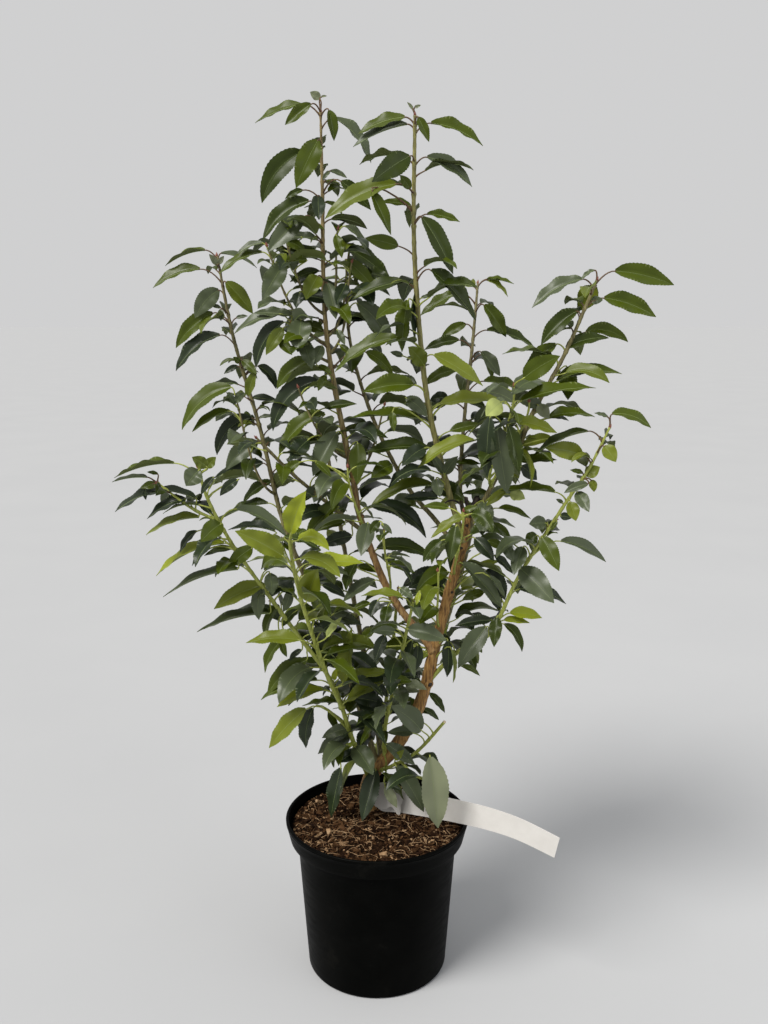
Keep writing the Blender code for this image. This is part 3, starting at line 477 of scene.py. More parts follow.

# Twigs that grow from a limb: the limb, the share of it where they leave, the
# end in cm, and its bark.
TWIGS = {
    "leader_outer_twig_b": dict(on="left_main_stem", at=0.66, end=(-9.2, 3.0, 77.4), bark="olive"),
    "leader_outer_twig_c": dict(on="left_main_stem", at=0.40, end=(-7.8, 1.6, 62.0), bark="olive"),
    "leader_inner_twig_b": dict(on="left_main_stem", at=0.62, end=(-2.6, 3.8, 75.6), bark="olive"),
    "leader_inner_twig_c": dict(on="left_main_stem", at=0.36, end=(0.8, 4.6, 60.0), bark="olive"),
    "leader_low_twig_a": dict(on="left_main_stem", at=0.14, end=(0.8, -3.6, 48.6), bark="green"),
    "leader_low_twig_b": dict(on="left_main_stem", at=0.24, end=(-2.8, -2.4, 54.6), bark="green"),
    "side_low_twig_a": dict(on="left_side_bough", at=0.20, end=(-6.6, 7.6, 36.0), bark="green"),
    "side_low_twig_b": dict(on="left_side_bough", at=0.34, end=(-10.4, 8.0, 45.0), bark="green"),
    "soil_left_twig": dict(on="outer_left_bough", at=0.10, end=(-4.4, 1.6, 23.8), bark="green"),
    "inner_right_twig_a": dict(on="right_bough", at=0.20, end=(12.6, -3.4, 57.2), bark="green"),
    "inner_right_twig_b": dict(on="right_bough", at=0.34, end=(14.6, -3.0, 61.0), bark="green"),
    "soil_right_twig": dict(on="pruned_twig", at=0.38, end=(5.6, -3.6, 22.6), bark="green"),
    "heart_twig_a": dict(on="right_main_stem", at=0.15, end=(6.0, -4.0, 44.6), bark="green"),
    "heart_twig_b": dict(on="right_main_stem", at=0.55, end=(8.4, -4.4, 50.6), bark="green"),
}
# and some whose ends show in the photo
TWIGS["right_inner_twig"] = dict(on="right_bough", at=0.20, end=tuple(place(514, 386, -0.045) / CM), bark="green")
TWIGS["leader_long_twig"] = dict(on="left_main_stem", at=0.607, end=tuple(place(267, 246, 0.030) / CM), bark="olive")
TWIGS["leader_bud_twig"] = dict(on="left_main_stem", at=0.665, end=tuple(place(338, 229, 0.028) / CM), bark="olive")
TWIGS["leader_bent_twig"] = dict(on="left_main_stem", at=0.590, end=tuple(place(352, 262, 0.020) / CM), bark="olive")
TWIGS["leader_short_twig"] = dict(on="left_main_stem", at=0.575, end=tuple(place(291, 323, 0.028) / CM), bark="olive")
TWIGS["side_fork_twig"] = dict(on="left_side_bough", at=0.560, end=tuple(place(236, 398, 0.034) / CM), bark="olive")
for name, spec in TWIGS.items():
    line = LINES[spec["on"]]
    start = line.point(spec["at"])
    end = Vector(spec["end"]) * CM
    along = line.ahead(spec["at"])
    out = (end - start)
    out = (out - along * out.dot(along)).normalized()
    reach = (end - start).length
    LINES[name] = Line(bend_points(start, start + (out * 0.8 + along * 0.35) * reach * 0.35,
                                   end - (UP * 0.75 + out * 0.25) * reach * 0.35, end, 14))
    spec["r"] = (1.4, 0.9)
    LIMBS[name] = spec


def limb_radius(name, share):
    spec = LIMBS[name]
    r0, r1 = spec["r"]
    r = r0 + (r1 - r0) * share
    if "flare" in spec:
        much, high = spec["flare"]
        r *= 1.0 + (much - 1.0) * math.exp(-share / high * 1.2)
    return r * MM


# -------------------------------------------------------------------- leaf
LEAF_STEPS = 34
TOP_COLUMNS = (-1.0, -0.66, -0.30, 0.0, 0.30, 0.66, 1.0)
LOW_COLUMNS = (-1.0, 0.0, 1.0)


def leaf_profile(t):
    """Half width of a laurel leaf along its length, 0 to 1: broadest before its middle, drawn out to a point."""
    shape = (t ** 0.60) * ((1 - t) ** 0.94)
    return shape / 0.3570


leaf_heaps = {tone: Heap() for tone in TONES}
rib_heap = Heap()
petiole_heaps = {"green": Heap(), "red": Heap()}
leaf_count = [0]


def blade(way, normals, width, tone, fold=0.42, wave=0.5, rng=random):
    """One leaf: a thin closed blade folded on its midrib, finely toothed, with a raised rib."""
    n = len(way) - 1
    phase_a, phase_b = rng.uniform(0, 6.28), rng.uniform(0, 6.28)
    waves = rng.uniform(1.8, 3.0)
    co, faces, slots = [], [], []
    rib = []
    cols, lows = len(TOP_COLUMNS), len(LOW_COLUMNS) - 2
    stride = cols + lows
    for k in range(n + 1):
        t = k / n
        T = (way[min(k + 1, n)] - way[max(k - 1, 0)]).normalized()
        N = normals[k]
        N = (N - T * N.dot(T)).normalized()
        S = T.cross(N)
        half = width * 0.5 * leaf_profile(min(0.992, max(0.012, t)))
        tooth = 1.0 + (0.042 if k % 2 else -0.020) * (1 if 1 < k < n - 1 else 0)
        open_fold = fold * (1.0 - 0.35 * t)
        thick = 0.00026
        vein = 0.00016 * (1 if k % 2 else -1)
        for u in TOP_COLUMNS:
            a = abs(u)
            h = half * (tooth if a > 0.9 else 1.0)
            ph = phase_a if u < 0 else phase_b
            ripple = wave * 0.0011 * math.sin(6.283 * waves * t + ph) * a ** 1.6 * min(1.0, half / 0.008)
            lift = a * half * math.sin(open_fold) - 0.16 * half * a * a + ripple + vein * a * (1 - a) * 4
            p = way[k] + S * (u * h * math.cos(open_fold)) + N * lift
            co.append(p)
        for u in LOW_COLUMNS[1:-1]:
            a = abs(u)
            ph = phase_a if u < 0 else phase_b
            ripple = wave * 0.0011 * math.sin(6.283 * waves * t + ph) * a ** 1.6 * min(1.0, half / 0.008)
            lift = a * half * math.sin(open_fold) - 0.16 * half * a * a + ripple - thick
            co.append(way[k] + S * (u * half * math.cos(open_fold)) + N * lift)
        rib.append((way[k], S, N, 1.0 - 0.75 * t))
    for k in range(n):
        a, b = k * stride, (k + 1) * stride
        for c in range(cols - 1):
            faces.append((a + c, a + c + 1, b + c + 1, b + c))
            slots.append(0)
        low_a = [a] + [a + cols + i for i in range(lows)] + [a + cols - 1]
        low_b = [b] + [b + cols + i for i in range(lows)] + [b + cols - 1]
        for c in range(lows + 1):
            faces.append((low_a[c + 1], low_a[c], low_b[c], low_b[c + 1]))
            slots.append(1)
    for row, turn in ((0, 1), (n, -1)):
        a = row * stride
        ring = [a + c for c in range(cols)] + [a + cols + i for i in reversed(range(lows))]
        faces.append(tuple(ring if turn < 0 else reversed(ring)))
        slots.append(1)
    leaf_heaps[tone].add(co, faces, slots)
    # the midrib, proud below and just showing above
    rc, rf = [], []
    last = int(n * 0.94)
    wide = 0.00034 + width * 0.0105
    for k in range(last + 1):
        p, S, N, s = rib[k]
        under = N * (0.00030 + 0.00055 * s)
        rc += [p - S * wide * s - under, p + N * 0.00024, p + S * wide * s - under]
    for k in range(last):
        a, b = k * 3, (k + 1) * 3
        for c in range(3):
            d = (c + 1) % 3
            rf.append((a + c, a + d, b + d, b + c))
    rf.append((2, 1, 0))
    e = last * 3
    rf.append((e, e + 1, e + 2))
    rib_heap.add(rc, rf)
    leaf_count[0] += 1


def petiole(a, b, end_dir, kind, r0=0.00084, r1=0.00064, start_dir=None):
    reach = (b - a).length
    if start_dir is None:
        start_dir = ((b - a).normalized() + UP * 0.5).normalized()
    pts = bend_points(a, a + start_dir * reach * 0.4, b - end_dir * reach * 0.35, b, 6)
    sweep(petiole_heaps[kind], pts, lambda s: (r0 + (r1 - r0) * s) * (1.0 + 0.5 * math.exp(-s * 9)), 6)


def turned_about(v, axis, angle):
    return Matrix.Rotation(angle, 3, axis) @ v


# ------------------------------------------------- open air in the photo
# Places where the photo shows what is behind the shrub, as round windows:
# (pixel across, pixel down, radius in pixels). No leaf set by the rule shows there.
AIR = [
    (552, 577, 6), (528, 603, 3), (538, 332, 10), (321, 720, 6), (314, 735, 5), (295, 742, 3),
    (540, 506, 7), (481, 602, 5), (203, 263, 3), (178, 276, 3), (432, 793, 5), (424, 783, 4), (254, 281, 6), (245, 338, 6), (422, 163, 5), (422, 253, 6), (425, 116, 4),
    (174, 478, 8), (168, 486, 4), (588, 393, 5), (582, 399, 4), (570, 528, 7), (315, 722, 4), (312, 740, 3),
    (283, 128, 7), (440, 178, 6), (452, 180, 4), (163, 452, 5), (208, 283, 7), (200, 292, 4),
    (345, 150, 14), (375, 100, 12), (395, 138, 10), (382, 130, 5), (435, 190, 15), (395, 218, 10), (378, 232, 5),
    (400, 235, 8), (430, 150, 8), (345, 128, 8), (300, 140, 10), (270, 160, 12), (335, 160, 8), (285, 175, 10),
    (440, 205, 6), (405, 262, 10), (400, 272, 5), (435, 245, 10), (470, 250, 20), (430, 285, 8), (460, 230, 12),
    (500, 255, 20), (395, 315, 4), (390, 335, 6), (398, 358, 8), (435, 325, 12), (448, 350, 6), (440, 375, 8), (450, 395, 5),
    (455, 318, 10), (428, 332, 6), (470, 400, 5), (445, 415, 4), (455, 425, 4),
    (190, 240, 20), (180, 300, 12), (160, 330, 20), (205, 360, 14), (215, 375, 8), (195, 345, 6), (225, 345, 5),
    (240, 300, 8), (240, 345, 7), (268, 380, 8), (262, 350, 6), (240, 270, 8), (225, 265, 4), (260, 420, 4), (235, 285, 4),
    (290, 370, 5), (300, 395, 8), (330, 395, 6), (250, 385, 4), (205, 440, 12), (190, 400, 10), (215, 395, 4),
    (140, 440, 20), (150, 465, 3), (130, 500, 8), (130, 545, 14), (180, 515, 6), (165, 540, 10), (225, 495, 5),
    (150, 560, 8), (210, 560, 8), (180, 590, 12), (200, 575, 4), (185, 620, 12), (240, 600, 5), (225, 640, 18), (255, 590, 3),
    (205, 525, 2), (225, 510, 4), (240, 515, 3), (230, 555, 4),
    (530, 270, 18), (560, 262, 10), (520, 300, 8), (500, 330, 8), (545, 305, 7), (585, 250, 14), (625, 290, 8),
    (640, 270, 5), (600, 310, 8), (640, 330, 14), (590, 350, 8), (615, 350, 6), (545, 345, 4), (500, 365, 6),
    (600, 365, 4), (640, 390, 14), (590, 380, 4), (575, 395, 3), (560, 410, 4), (600, 405, 6), (565, 440, 8), (540, 425, 4),
    (625, 400, 6), (590, 440, 4), (640, 440, 14), (615, 480, 14), (595, 510, 14), (545, 475, 10), (540, 500, 8),
    (560, 500, 5), (520, 505, 4), (530, 525, 4), (600, 545, 8), (570, 570, 10), (590, 575, 14), (525, 590, 6),
    (540, 600, 8), (500, 600, 5), (540, 640, 14), (510, 620, 6), (490, 650, 8), (500, 635, 4),
    (290, 700, 4), (270, 690, 8), (285, 730, 10), (310, 760, 10), (300, 640, 3), (255, 650, 6),
    (395, 580, 4), (420, 560, 4), (400, 545, 5), (430, 620, 3), (380, 500, 4), (385, 450, 4), (400, 470, 5), (380, 415, 4),
    (360, 625, 5), (375, 640, 4), (360, 650, 5), (395, 640, 3), (345, 600, 3),
    (425, 725, 6), (440, 700, 8), (460, 700, 12), (460, 660, 4), (430, 750, 5), (405, 745, 3),
]
# The crown's outline in the photo, with room for its furthest leaves.
CROWN = [
    (300, 96), (320, 88), (352, 118), (372, 106), (412, 98), (440, 112), (488, 140), (478, 190), (462, 212), (466, 262),
    (486, 272), (512, 280), (532, 300), (536, 284), (575, 270), (600, 258), (640, 258), (678, 278), (660, 320),
    (632, 345), (624, 378), (600, 392), (654, 410), (650, 430), (618, 440), (606, 500), (608, 560), (566, 606),
    (545, 622), (524, 654), (486, 650), (482, 674), (447, 690), (450, 750), (452, 834), (400, 822), (362, 824),
    (326, 820), (298, 750), (266, 750), (264, 700), (262, 655), (240, 648), (194, 634), (160, 600), (152, 578),
    (178, 556), (142, 540), (142, 516), (110, 516), (108, 476), (150, 456), (182, 462), (178, 436), (190, 400),
    (172, 372), (172, 340), (176, 320), (150, 292), (160, 262), (186, 246), (220, 246), (240, 240), (254, 210),
    (258, 160), (250, 124), (280, 104)]


def inside(px, py, outline):
    odd = False
    j = len(outline) - 1
    for i in range(len(outline)):
        (xi, yi), (xj, yj) = outline[i], outline[j]
        if (yi > py) != (yj > py) and px < (xj - xi) * (py - yi) / (yj - yi) + xi:
            odd = not odd
        j = i
    return odd


# Stems that show in the photo past the leaves in front: (limb, from share, to share).
BARE_IN_VIEW = [
    ("trunk", 0.2, 1.0), ("right_main_stem", 0.0, 1.0), ("left_main_stem", 0.0, 0.98), ("tall_right_bough", 0.08, 0.98),
    ("stub_bough", 0.2, 0.95), ("back_left_bough", 0.1, 0.62), ("left_side_bough", 0.52, 0.98), ("outer_left_bough", 0.12, 0.97),
    ("front_left_bough", 0.05, 0.8), ("right_bough", 0.2, 0.9), ("low_right_bough", 0.12, 0.95), ("pruned_twig", 0.2, 1.0),
]
SHOWN_STEMS = []
for name, a, b in BARE_IN_VIEW:
    line = LINES[name]
    steps = max(4, int(line.length * (b - a) / 0.008))
    for i in range(steps + 1):
        p = line.point(a + (b - a) * i / steps)
        SHOWN_STEMS.append((*seen_at(p), p.y))
SHOWN_STEMS = np.array(SHOWN_STEMS)
AIR_ROWS = np.array(AIR, float)


def in_the_way(points, on_stem_ok=0):
    """How many of a leaf's places would show where the photo shows none of it."""
    bad = 0
    for p in points:
        px, py = seen_at(p)
        if not inside(px, py, CROWN):
            bad += 1
            continue
        if ((AIR_ROWS[:, 0] - px) ** 2 + (AIR_ROWS[:, 1] - py) ** 2 < (AIR_ROWS[:, 2] + 1.5) ** 2).any():
            bad += 1
            continue
        near = (np.abs(SHOWN_STEMS[:, 0] - px) < 4.5) & (np.abs(SHOWN_STEMS[:, 1] - py) < 6) & (SHOWN_STEMS[:, 2] > p.y + 0.006)
        if near.any():
            bad += 1
    return bad


# ------------------------------------------------------- leaves by place
# Leaves read off the photo, by the limb that bears them: where the blade starts
# and ends in pixels, how wide it shows, its tone (d deep, k dark, m mid,
# n fresh, l light, y young, g grey, p pale, t glow), whether it stands to the side,
# front or back, and for some how much more or less than most it arches.
# A leaf's tone is partly its own green and partly painted light or shade: darker
# where it stands in shade, lighter where it is lit; g is a painted sheen, t painted
# light, p partly a painted sheen.
PLACED = {
    "left_main_stem": [
        (303, 190, 285, 199, 6, "k", "s"), (309, 201, 263, 240, 14, "k", "s", 1.4), (303, 217, 268, 252, 19, "g", "f"),
        (300, 222, 325, 230, 5, "m", "s"), (302, 237, 277, 238, 8, "g", "s"), (285, 240, 306, 252, 10, "m", "s"),
        (337, 432, 313, 476, 20, "g", "f"), (337, 330, 345, 345, 7, "g", "f"), (340, 345, 352, 356, 6, "m", "f"),
        (318, 366, 332, 374, 6, "m", "f"), (338, 702, 302, 706, 6, "m", "s"), (308, 440, 290, 460, 17, "d", "f"), (325, 414, 279, 455, 14, "m", "s", 1.4),
        (325, 408, 357, 404, 9, "k", "s"), (358, 443, 357, 484, 17, "m", "f"), (392, 465, 371, 478, 16, "m", "f"),
        (300, 462, 280, 478, 10, "m", "s"), (315, 462, 331, 477, 8, "m", "s"), (318, 196, 319, 220, 13, "d", "f"),
        (325, 202, 343, 216, 4, "m", "s"),
        (320, 99, 310, 92, 8, "p", "s"), (321, 97, 327, 96, 2, "p", "s"), (311, 104, 285, 125, 11, "m", "f"),
        (301, 104, 255, 123, 7, "m", "s", 0.5), (329, 110, 334, 141, 10, "m", "f"), (335, 118, 371, 163, 9, "g", "s"),
        (318, 140, 296, 188, 21, "m", "f"), (303, 152, 262, 203, 20, "k", "s", 1.6), (330, 171, 347, 178, 5, "g", "s"),
        (330, 171, 322, 180, 4, "g", "f"), (341, 181, 371, 210, 13, "k", "f"), (345, 226, 366, 252, 7, "g", "s"),
        (336, 235, 342, 258, 10, "m", "f"), (343, 246, 391, 280, 15, "k", "s", 0.5), (346, 260, 376, 290, 14, "m", "f"),
        (318, 240, 283, 236, 7, "g", "s"), (316, 252, 286, 249, 9, "k", "s"), (317, 259, 268, 260, 5, "k", "b"),
        (307, 260, 275, 263, 10, "m", "s"), (284, 264, 262, 300, 19, "g", "f"), (318, 276, 306, 300, 17, "n", "f"),
        (319, 271, 290, 282, 9, "k", "b"), (300, 292, 296, 308, 11, "d", "f"), (327, 283, 336, 319, 16, "g", "f"),
        (346, 284, 336, 305, 13, "d", "f"), (292, 316, 254, 313, 9, "g", "s"), (280, 314, 234, 334, 10, "g", "s"),
        (301, 320, 298, 352, 23, "g", "f"), (284, 322, 256, 368, 13, "d", "s", 1.5), (283, 328, 266, 355, 13, "n", "f"),
        (280, 340, 292, 355, 10, "m", "f"), (303, 340, 312, 369, 15, "g", "f"), (322, 346, 312, 366, 12, "g", "f"),
        (311, 360, 277, 389, 16, "m", "s", 1.5), (318, 381, 273, 431, 18, "d", "s", 1.9), (326, 375, 318, 391, 8, "m", "f"),
        (366, 352, 393, 376, 12, "m", "s"), (357, 303, 391, 346, 19, "g", "s"), (323, 331, 300, 323, 12, "m", "b"), (345, 429, 388, 438, 10, "k", "s"),
        (352, 296, 398, 279, 11, "m", "s"), (263, 243, 237, 254, 5, "g", "s"), (262, 252, 219, 274, 7, "m", "s"),
        (285, 228, 270, 255, 10, "d", "s"), (373, 507, 426, 538, 16, "d", "s", 2.0), (377, 549, 431, 558, 14, "k", "s", 2.8),
        (368, 523, 361, 556, 18, "g", "f"), (380, 521, 370, 534, 9, "k", "s"), (381, 524, 392, 534, 6, "g", "s"),
        (388, 563, 415, 573, 9, "m", "s"), (375, 580, 343, 602, 12, "g", "s"), (357, 562, 346, 591, 12, "k", "s"),
        (358, 567, 380, 573, 8, "m", "b"), (378, 600, 370, 617, 10, "d", "f"), (388, 606, 384, 627, 12, "k", "f"),
        (370, 603, 353, 610, 7, "m", "s"), (362, 640, 378, 628, 8, "m", "s"),
    ],
    "left_inner_bough": [
        (340, 500, 305, 538, 15, "m", "f"), (338, 507, 307, 538, 7, "l", "f"), (352, 536, 320, 546, 14, "d", "s"),
        (345, 522, 315, 532, 9, "m", "s"),
    ],
    "tall_right_bough": [
        (413, 110, 407, 102, 3, "p", "s"), (414, 108, 421, 105, 3, "p", "s"),
        (405, 117, 358, 134, 10, "m", "s"), (407, 124, 353, 147, 8, "g", "s", 0.8), (431, 123, 483, 146, 10, "m", "s"),
        (418, 117, 429, 142, 9, "m", "f"), (410, 156, 372, 182, 21, "k", "f"), (396, 184, 325, 219, 17, "n", "f"),
        (372, 192, 391, 235, 12, "m", "f"), (410, 189, 400, 175, 9, "m", "f"), (411, 206, 381, 202, 7, "m", "s"),
        (427, 157, 472, 187, 12, "g", "s"), (427, 214, 460, 222, 8, "m", "s"), (422, 217, 453, 274, 17, "k", "f"),
        (431, 270, 476, 321, 15, "k", "f"), (398, 246, 365, 238, 14, "m", "s"), (403, 282, 352, 300, 12, "k", "s"),
        (408, 300, 402, 352, 15, "m", "f"), (416, 292, 416, 341, 7, "d", "s"), (421, 298, 434, 295, 4, "g", "s"),
        (399, 338, 335, 372, 13, "m", "s"),
        (434, 485, 370, 507, 11, "n", "s", 1.2), (424, 365, 408, 347, 17, "n", "f"), (403, 356, 390, 352, 6, "g", "s"), (434, 355, 483, 386, 15, "l", "f"), (413, 385, 363, 392, 19, "m", "f"),
        (419, 418, 348, 418, 10, "m", "s"), (406, 398, 427, 417, 14, "g", "s"), (392, 412, 394, 432, 8, "m", "f"),
        (441, 404, 503, 400, 13, "l", "s"), (450, 431, 482, 424, 10, "m", "s"), (427, 447, 366, 452, 12, "k", "s"),
        (425, 448, 402, 466, 16, "d", "f"), (474, 440, 418, 468, 12, "l", "f"), (448, 398, 430, 400, 12, "d", "b"),
        (444, 474, 430, 453, 9, "g", "f"), (445, 474, 458, 456, 11, "g", "f"), (436, 479, 440, 497, 12, "g", "f"),
        (438, 498, 404, 498, 10, "d", "s"), (463, 399, 486, 409, 10, "k", "b"),
    ],
    "stub_bough": [
        (458, 293, 420, 316, 10, "m", "s", 0.5), (466, 324, 441, 338, 10, "m", "s"), (459, 340, 424, 350, 10, "k", "s"),
        (458, 370, 424, 386, 11, "m", "s", 1.7), (487, 279, 514, 284, 4, "m", "s"), (487, 280, 508, 297, 5, "l", "s"),
        (484, 305, 506, 337, 14, "m", "f"), (487, 330, 534, 347, 9, "k", "s"), (481, 352, 500, 376, 12, "g", "f"),
        (483, 355, 492, 379, 8, "m", "s"), (484, 381, 528, 393, 9, "m", "s"), (465, 470, 483, 481, 10, "g", "s"),
        (455, 463, 481, 464, 6, "m", "s"),
    ],
    "left_side_bough": [
        (205, 250, 165, 266, 5, "m", "s"), (200, 269, 153, 288, 9, "m", "s"), (217, 265, 209, 254, 6, "p", "f"),
        (219, 264, 224, 256, 5, "p", "f"), (221, 253, 257, 268, 5, "g", "s"), (226, 282, 253, 314, 15, "n", "f"),
        (219, 290, 195, 318, 18, "g", "s"), (221, 308, 210, 305, 4, "g", "s"), (221, 309, 221, 321, 6, "g", "f"),
        (213, 313, 176, 348, 15, "m", "s"), (220, 335, 176, 371, 12, "d", "s"), (236, 318, 248, 316, 4, "g", "s"),
        (242, 360, 257, 374, 9, "m", "f"), (240, 363, 233, 357, 6, "m", "f"), (248, 396, 256, 368, 10, "n", "f"),
        (238, 366, 224, 374, 6, "d", "s"), (231, 387, 182, 430, 15, "m", "s", 1.5), (235, 405, 226, 392, 6, "g", "f"),
        (235, 402, 245, 393, 8, "g", "f"), (252, 398, 279, 402, 7, "d", "s"), (229, 411, 192, 432, 8, "m", "s"),
        (258, 366, 276, 389, 10, "d", "s", 2.2), (252, 418, 217, 455, 15, "d", "s", 2.6), (259, 418, 274, 416, 4, "g", "s"),
        (258, 442, 226, 470, 18, "g", "s", 1.5), (263, 463, 214, 478, 15, "d", "s", 0.3), (272, 481, 243, 503, 10, "k", "s"),
        (268, 503, 221, 519, 8, "k", "s"), (320, 550, 297, 560, 6, "d", "s"), (303, 574, 332, 571, 10, "d", "s"),
        (322, 585, 346, 598, 9, "d", "s"), (315, 614, 362, 625, 15, "g", "f"), (316, 625, 332, 638, 14, "d", "f"),
    ],
    "outer_left_side_bough": [
        (147, 477, 112, 482, 4, "g", "s"), (158, 474, 147, 472, 4, "m", "s"),
        (157, 484, 140, 488, 8, "m", "s"), (146, 488, 146, 500, 5, "d", "s"), (163, 491, 115, 512, 8, "d", "s"),
        (196, 498, 148, 490, 7, "d", "s"), (186, 499, 147, 519, 10, "d", "s"), (199, 517, 146, 535, 8, "l", "s"),
    ],
    "outer_left_bough": [
        (174, 463, 114, 478, 7, "m", "s"), (207, 467, 192, 457, 12, "n", "f"), (207, 468, 216, 457, 10, "n", "s"), (199, 470, 186, 486, 19, "g", "f"),
        (214, 477, 201, 495, 7, "d", "s"),
        (221, 524, 201, 542, 19, "m", "f"), (197, 531, 180, 553, 7, "d", "s"), (224, 543, 156, 576, 10, "y", "s"),
        (207, 550, 192, 566, 5, "d", "b"), (232, 549, 204, 556, 7, "m", "b"), (238, 569, 163, 597, 9, "k", "s"),
        (265, 585, 214, 609, 17, "l", "s"), (270, 613, 197, 632, 10, "k", "s"), (238, 480, 220, 496, 10, "d", "s"),
        (236, 509, 287, 537, 11, "g", "s"), (275, 531, 228, 530, 8, "d", "b"), (252, 548, 227, 568, 15, "m", "f"),
        (344, 683, 392, 671, 11, "l", "f"), (347, 701, 391, 677, 12, "l", "f"), (343, 682, 352, 627, 15, "l", "f"),
        (334, 680, 337, 668, 6, "y", "f"), (355, 747, 373, 775, 20, "g", "f"), (376, 770, 362, 821, 18, "d", "f"),
        (355, 743, 341, 752, 5, "l", "f"), (356, 752, 338, 763, 12, "d", "f"), (341, 768, 331, 817, 14, "d", "f"),
        (357, 758, 337, 802, 7, "l", "f"), (352, 735, 318, 754, 14, "g", "s"), (350, 728, 322, 738, 12, "g", "s"),
        (337, 748, 334, 768, 5, "k", "s"), (328, 712, 338, 731, 8, "m", "b"), (306, 709, 269, 748, 17, "l", "f"),
        (313, 708, 306, 748, 15, "d", "s"), (323, 690, 277, 707, 12, "y", "f"), (317, 680, 261, 700, 11, "m", "f"),
        (307, 660, 267, 695, 17, "m", "s"), (283, 640, 265, 673, 10, "m", "s"), (281, 640, 287, 657, 7, "m", "s"),
        (302, 650, 289, 661, 6, "d", "s"), (298, 610, 282, 627, 9, "k", "s"), (290, 590, 283, 612, 10, "g", "s"),
        (279, 605, 265, 640, 9, "m", "s"), (262, 586, 259, 620, 14, "g", "s"), (270, 573, 272, 595, 14, "g", "f"),
    ],
    "front_left_bough": [
        (283, 556, 235, 531, 21, "l", "f"), (291, 533, 306, 491, 20, "y", "f"), (309, 563, 364, 563, 14, "y", "s"),
        (307, 601, 318, 569, 23, "l", "f"), (327, 637, 342, 617, 7, "t", "f"), (326, 655, 374, 648, 8, "m", "s"),
        (299, 640, 246, 643, 14, "l", "f"), (284, 537, 321, 550, 8, "k", "s"),
    ],
    "right_bough": [
        (508, 489, 486, 506, 9, "l", "f"), (510, 494, 525, 499, 12, "t", "f"), (499, 508, 531, 519, 7, "m", "s"),
        (488, 523, 512, 541, 10, "m", "s"),
        (615, 271, 674, 285, 18, "m", "s"), (595, 270, 581, 280, 4, "g", "s"), (582, 279, 532, 308, 12, "g", "s"),
        (596, 286, 578, 311, 20, "l", "b"), (591, 301, 603, 300, 8, "g", "s"), (604, 298, 656, 317, 17, "m", "s"),
        (577, 311, 541, 345, 16, "k", "s"), (586, 332, 628, 342, 12, "m", "b", 2.6), (566, 348, 609, 338, 12, "k", "s", 4.0),
        (556, 344, 524, 386, 15, "m", "s"), (557, 381, 622, 374, 11, "m", "s", 2.1), (567, 367, 568, 400, 18, "m", "b"),
        (549, 417, 595, 417, 10, "m", "s", 2.8), (550, 418, 569, 421, 5, "d", "b"), (538, 405, 549, 419, 12, "p", "f"),
        (519, 401, 545, 409, 13, "g", "b"), (552, 438, 519, 447, 11, "l", "s"),
    ],
    "right_inner_twig": [
        (524, 378, 560, 356, 20, "m", "f"), (521, 401, 596, 388, 12, "m", "s"), (501, 402, 486, 416, 18, "t", "f"),
        (490, 417, 487, 476, 19, "d", "f"), (497, 427, 507, 494, 24, "g", "f"), (508, 425, 519, 473, 15, "k", "f"),
        (514, 421, 557, 433, 12, "l", "s"), (518, 447, 530, 488, 6, "y", "s"), (521, 466, 537, 480, 14, "d", "b"),
        (517, 462, 557, 460, 10, "m", "s"),
    ],
    "low_right_bough": [
        (588, 431, 533, 456, 8, "k", "s"), (583, 455, 545, 448, 18, "l", "s"), (555, 492, 500, 491, 9, "m", "s"),
        
        (546, 523, 529, 524, 14, "g", "s"), (537, 535, 527, 545, 13, "k", "s"),
        (560, 516, 572, 518, 8, "d", "s"), (557, 521, 551, 531, 5, "m", "s"), (570, 502, 576, 521, 13, "l", "f"),
        (588, 484, 564, 493, 9, "g", "f"), (577, 492, 589, 512, 13, "g", "f"), (586, 476, 600, 467, 13, "l", "s"),
        (591, 480, 594, 492, 8, "l", "s"), (583, 473, 570, 470, 5, "m", "s"), (563, 503, 556, 499, 4, "g", "s"),
        (542, 537, 559, 571, 17, "m", "f"), (561, 541, 606, 562, 11, "g", "s"), (523, 547, 514, 575, 15, "g", "f"),
        (505, 544, 513, 562, 11, "g", "f"), (520, 568, 554, 603, 24, "g", "f"), (519, 589, 566, 604, 13, "d", "s", 1.8),
        (510, 613, 542, 618, 12, "y", "s", 1.7), (504, 620, 530, 623, 7, "y", "s"), (504, 624, 522, 652, 9, "k", "s", 1.5),
        (497, 617, 494, 647, 13, "k", "f"), (612, 414, 651, 428, 10, "m", "s", 2.1), (608, 417, 594, 413, 4, "g", "s"),
        (604, 446, 616, 462, 14, "l", "f"), 
        (492, 620, 455, 626, 11, "d", "s"),
        (486, 627, 458, 668, 20, "g", "f"), (461, 666, 480, 676, 6, "m", "s"), (476, 646, 482, 653, 5, "m", "s"),
        (481, 641, 489, 634, 4, "m", "s"),
    ],
    "right_main_stem": [
        (494, 555, 513, 574, 8, "d", "f"), (486, 570, 505, 600, 18, "d", "s"), (490, 590, 499, 611, 12, "d", "s"),
        (489, 576, 505, 598, 6, "g", "f"),
        (484, 502, 482, 536, 20, "g", "f"), (475, 538, 494, 561, 14, "d", "f"), (488, 541, 506, 551, 9, "m", "s"),
        (477, 567, 500, 561, 7, "l", "s"), (462, 563, 502, 608, 16, "g", "f"), (484, 592, 462, 600, 10, "m", "s"),
        (467, 516, 431, 538, 9, "l", "f"), (456, 526, 450, 562, 15, "k", "f"), (442, 540, 423, 562, 12, "k", "s"),
        (449, 508, 423, 506, 8, "m", "s"), (490, 494, 461, 494, 6, "k", "s"), (462, 512, 478, 506, 7, "m", "s"),
        (446, 578, 408, 588, 18, "d", "f"), (430, 603, 420, 617, 12, "d", "s"),
    ],
    "trunk": [
        (448, 640, 447, 677, 12, "d", "f"), (452, 650, 453, 683, 4, "l", "f"), (433, 648, 422, 660, 6, "l", "s"),
        (429, 693, 445, 713, 8, "k", "b"), (423, 709, 439, 720, 6, "k", "b"),
    ],
    "front_twig": [
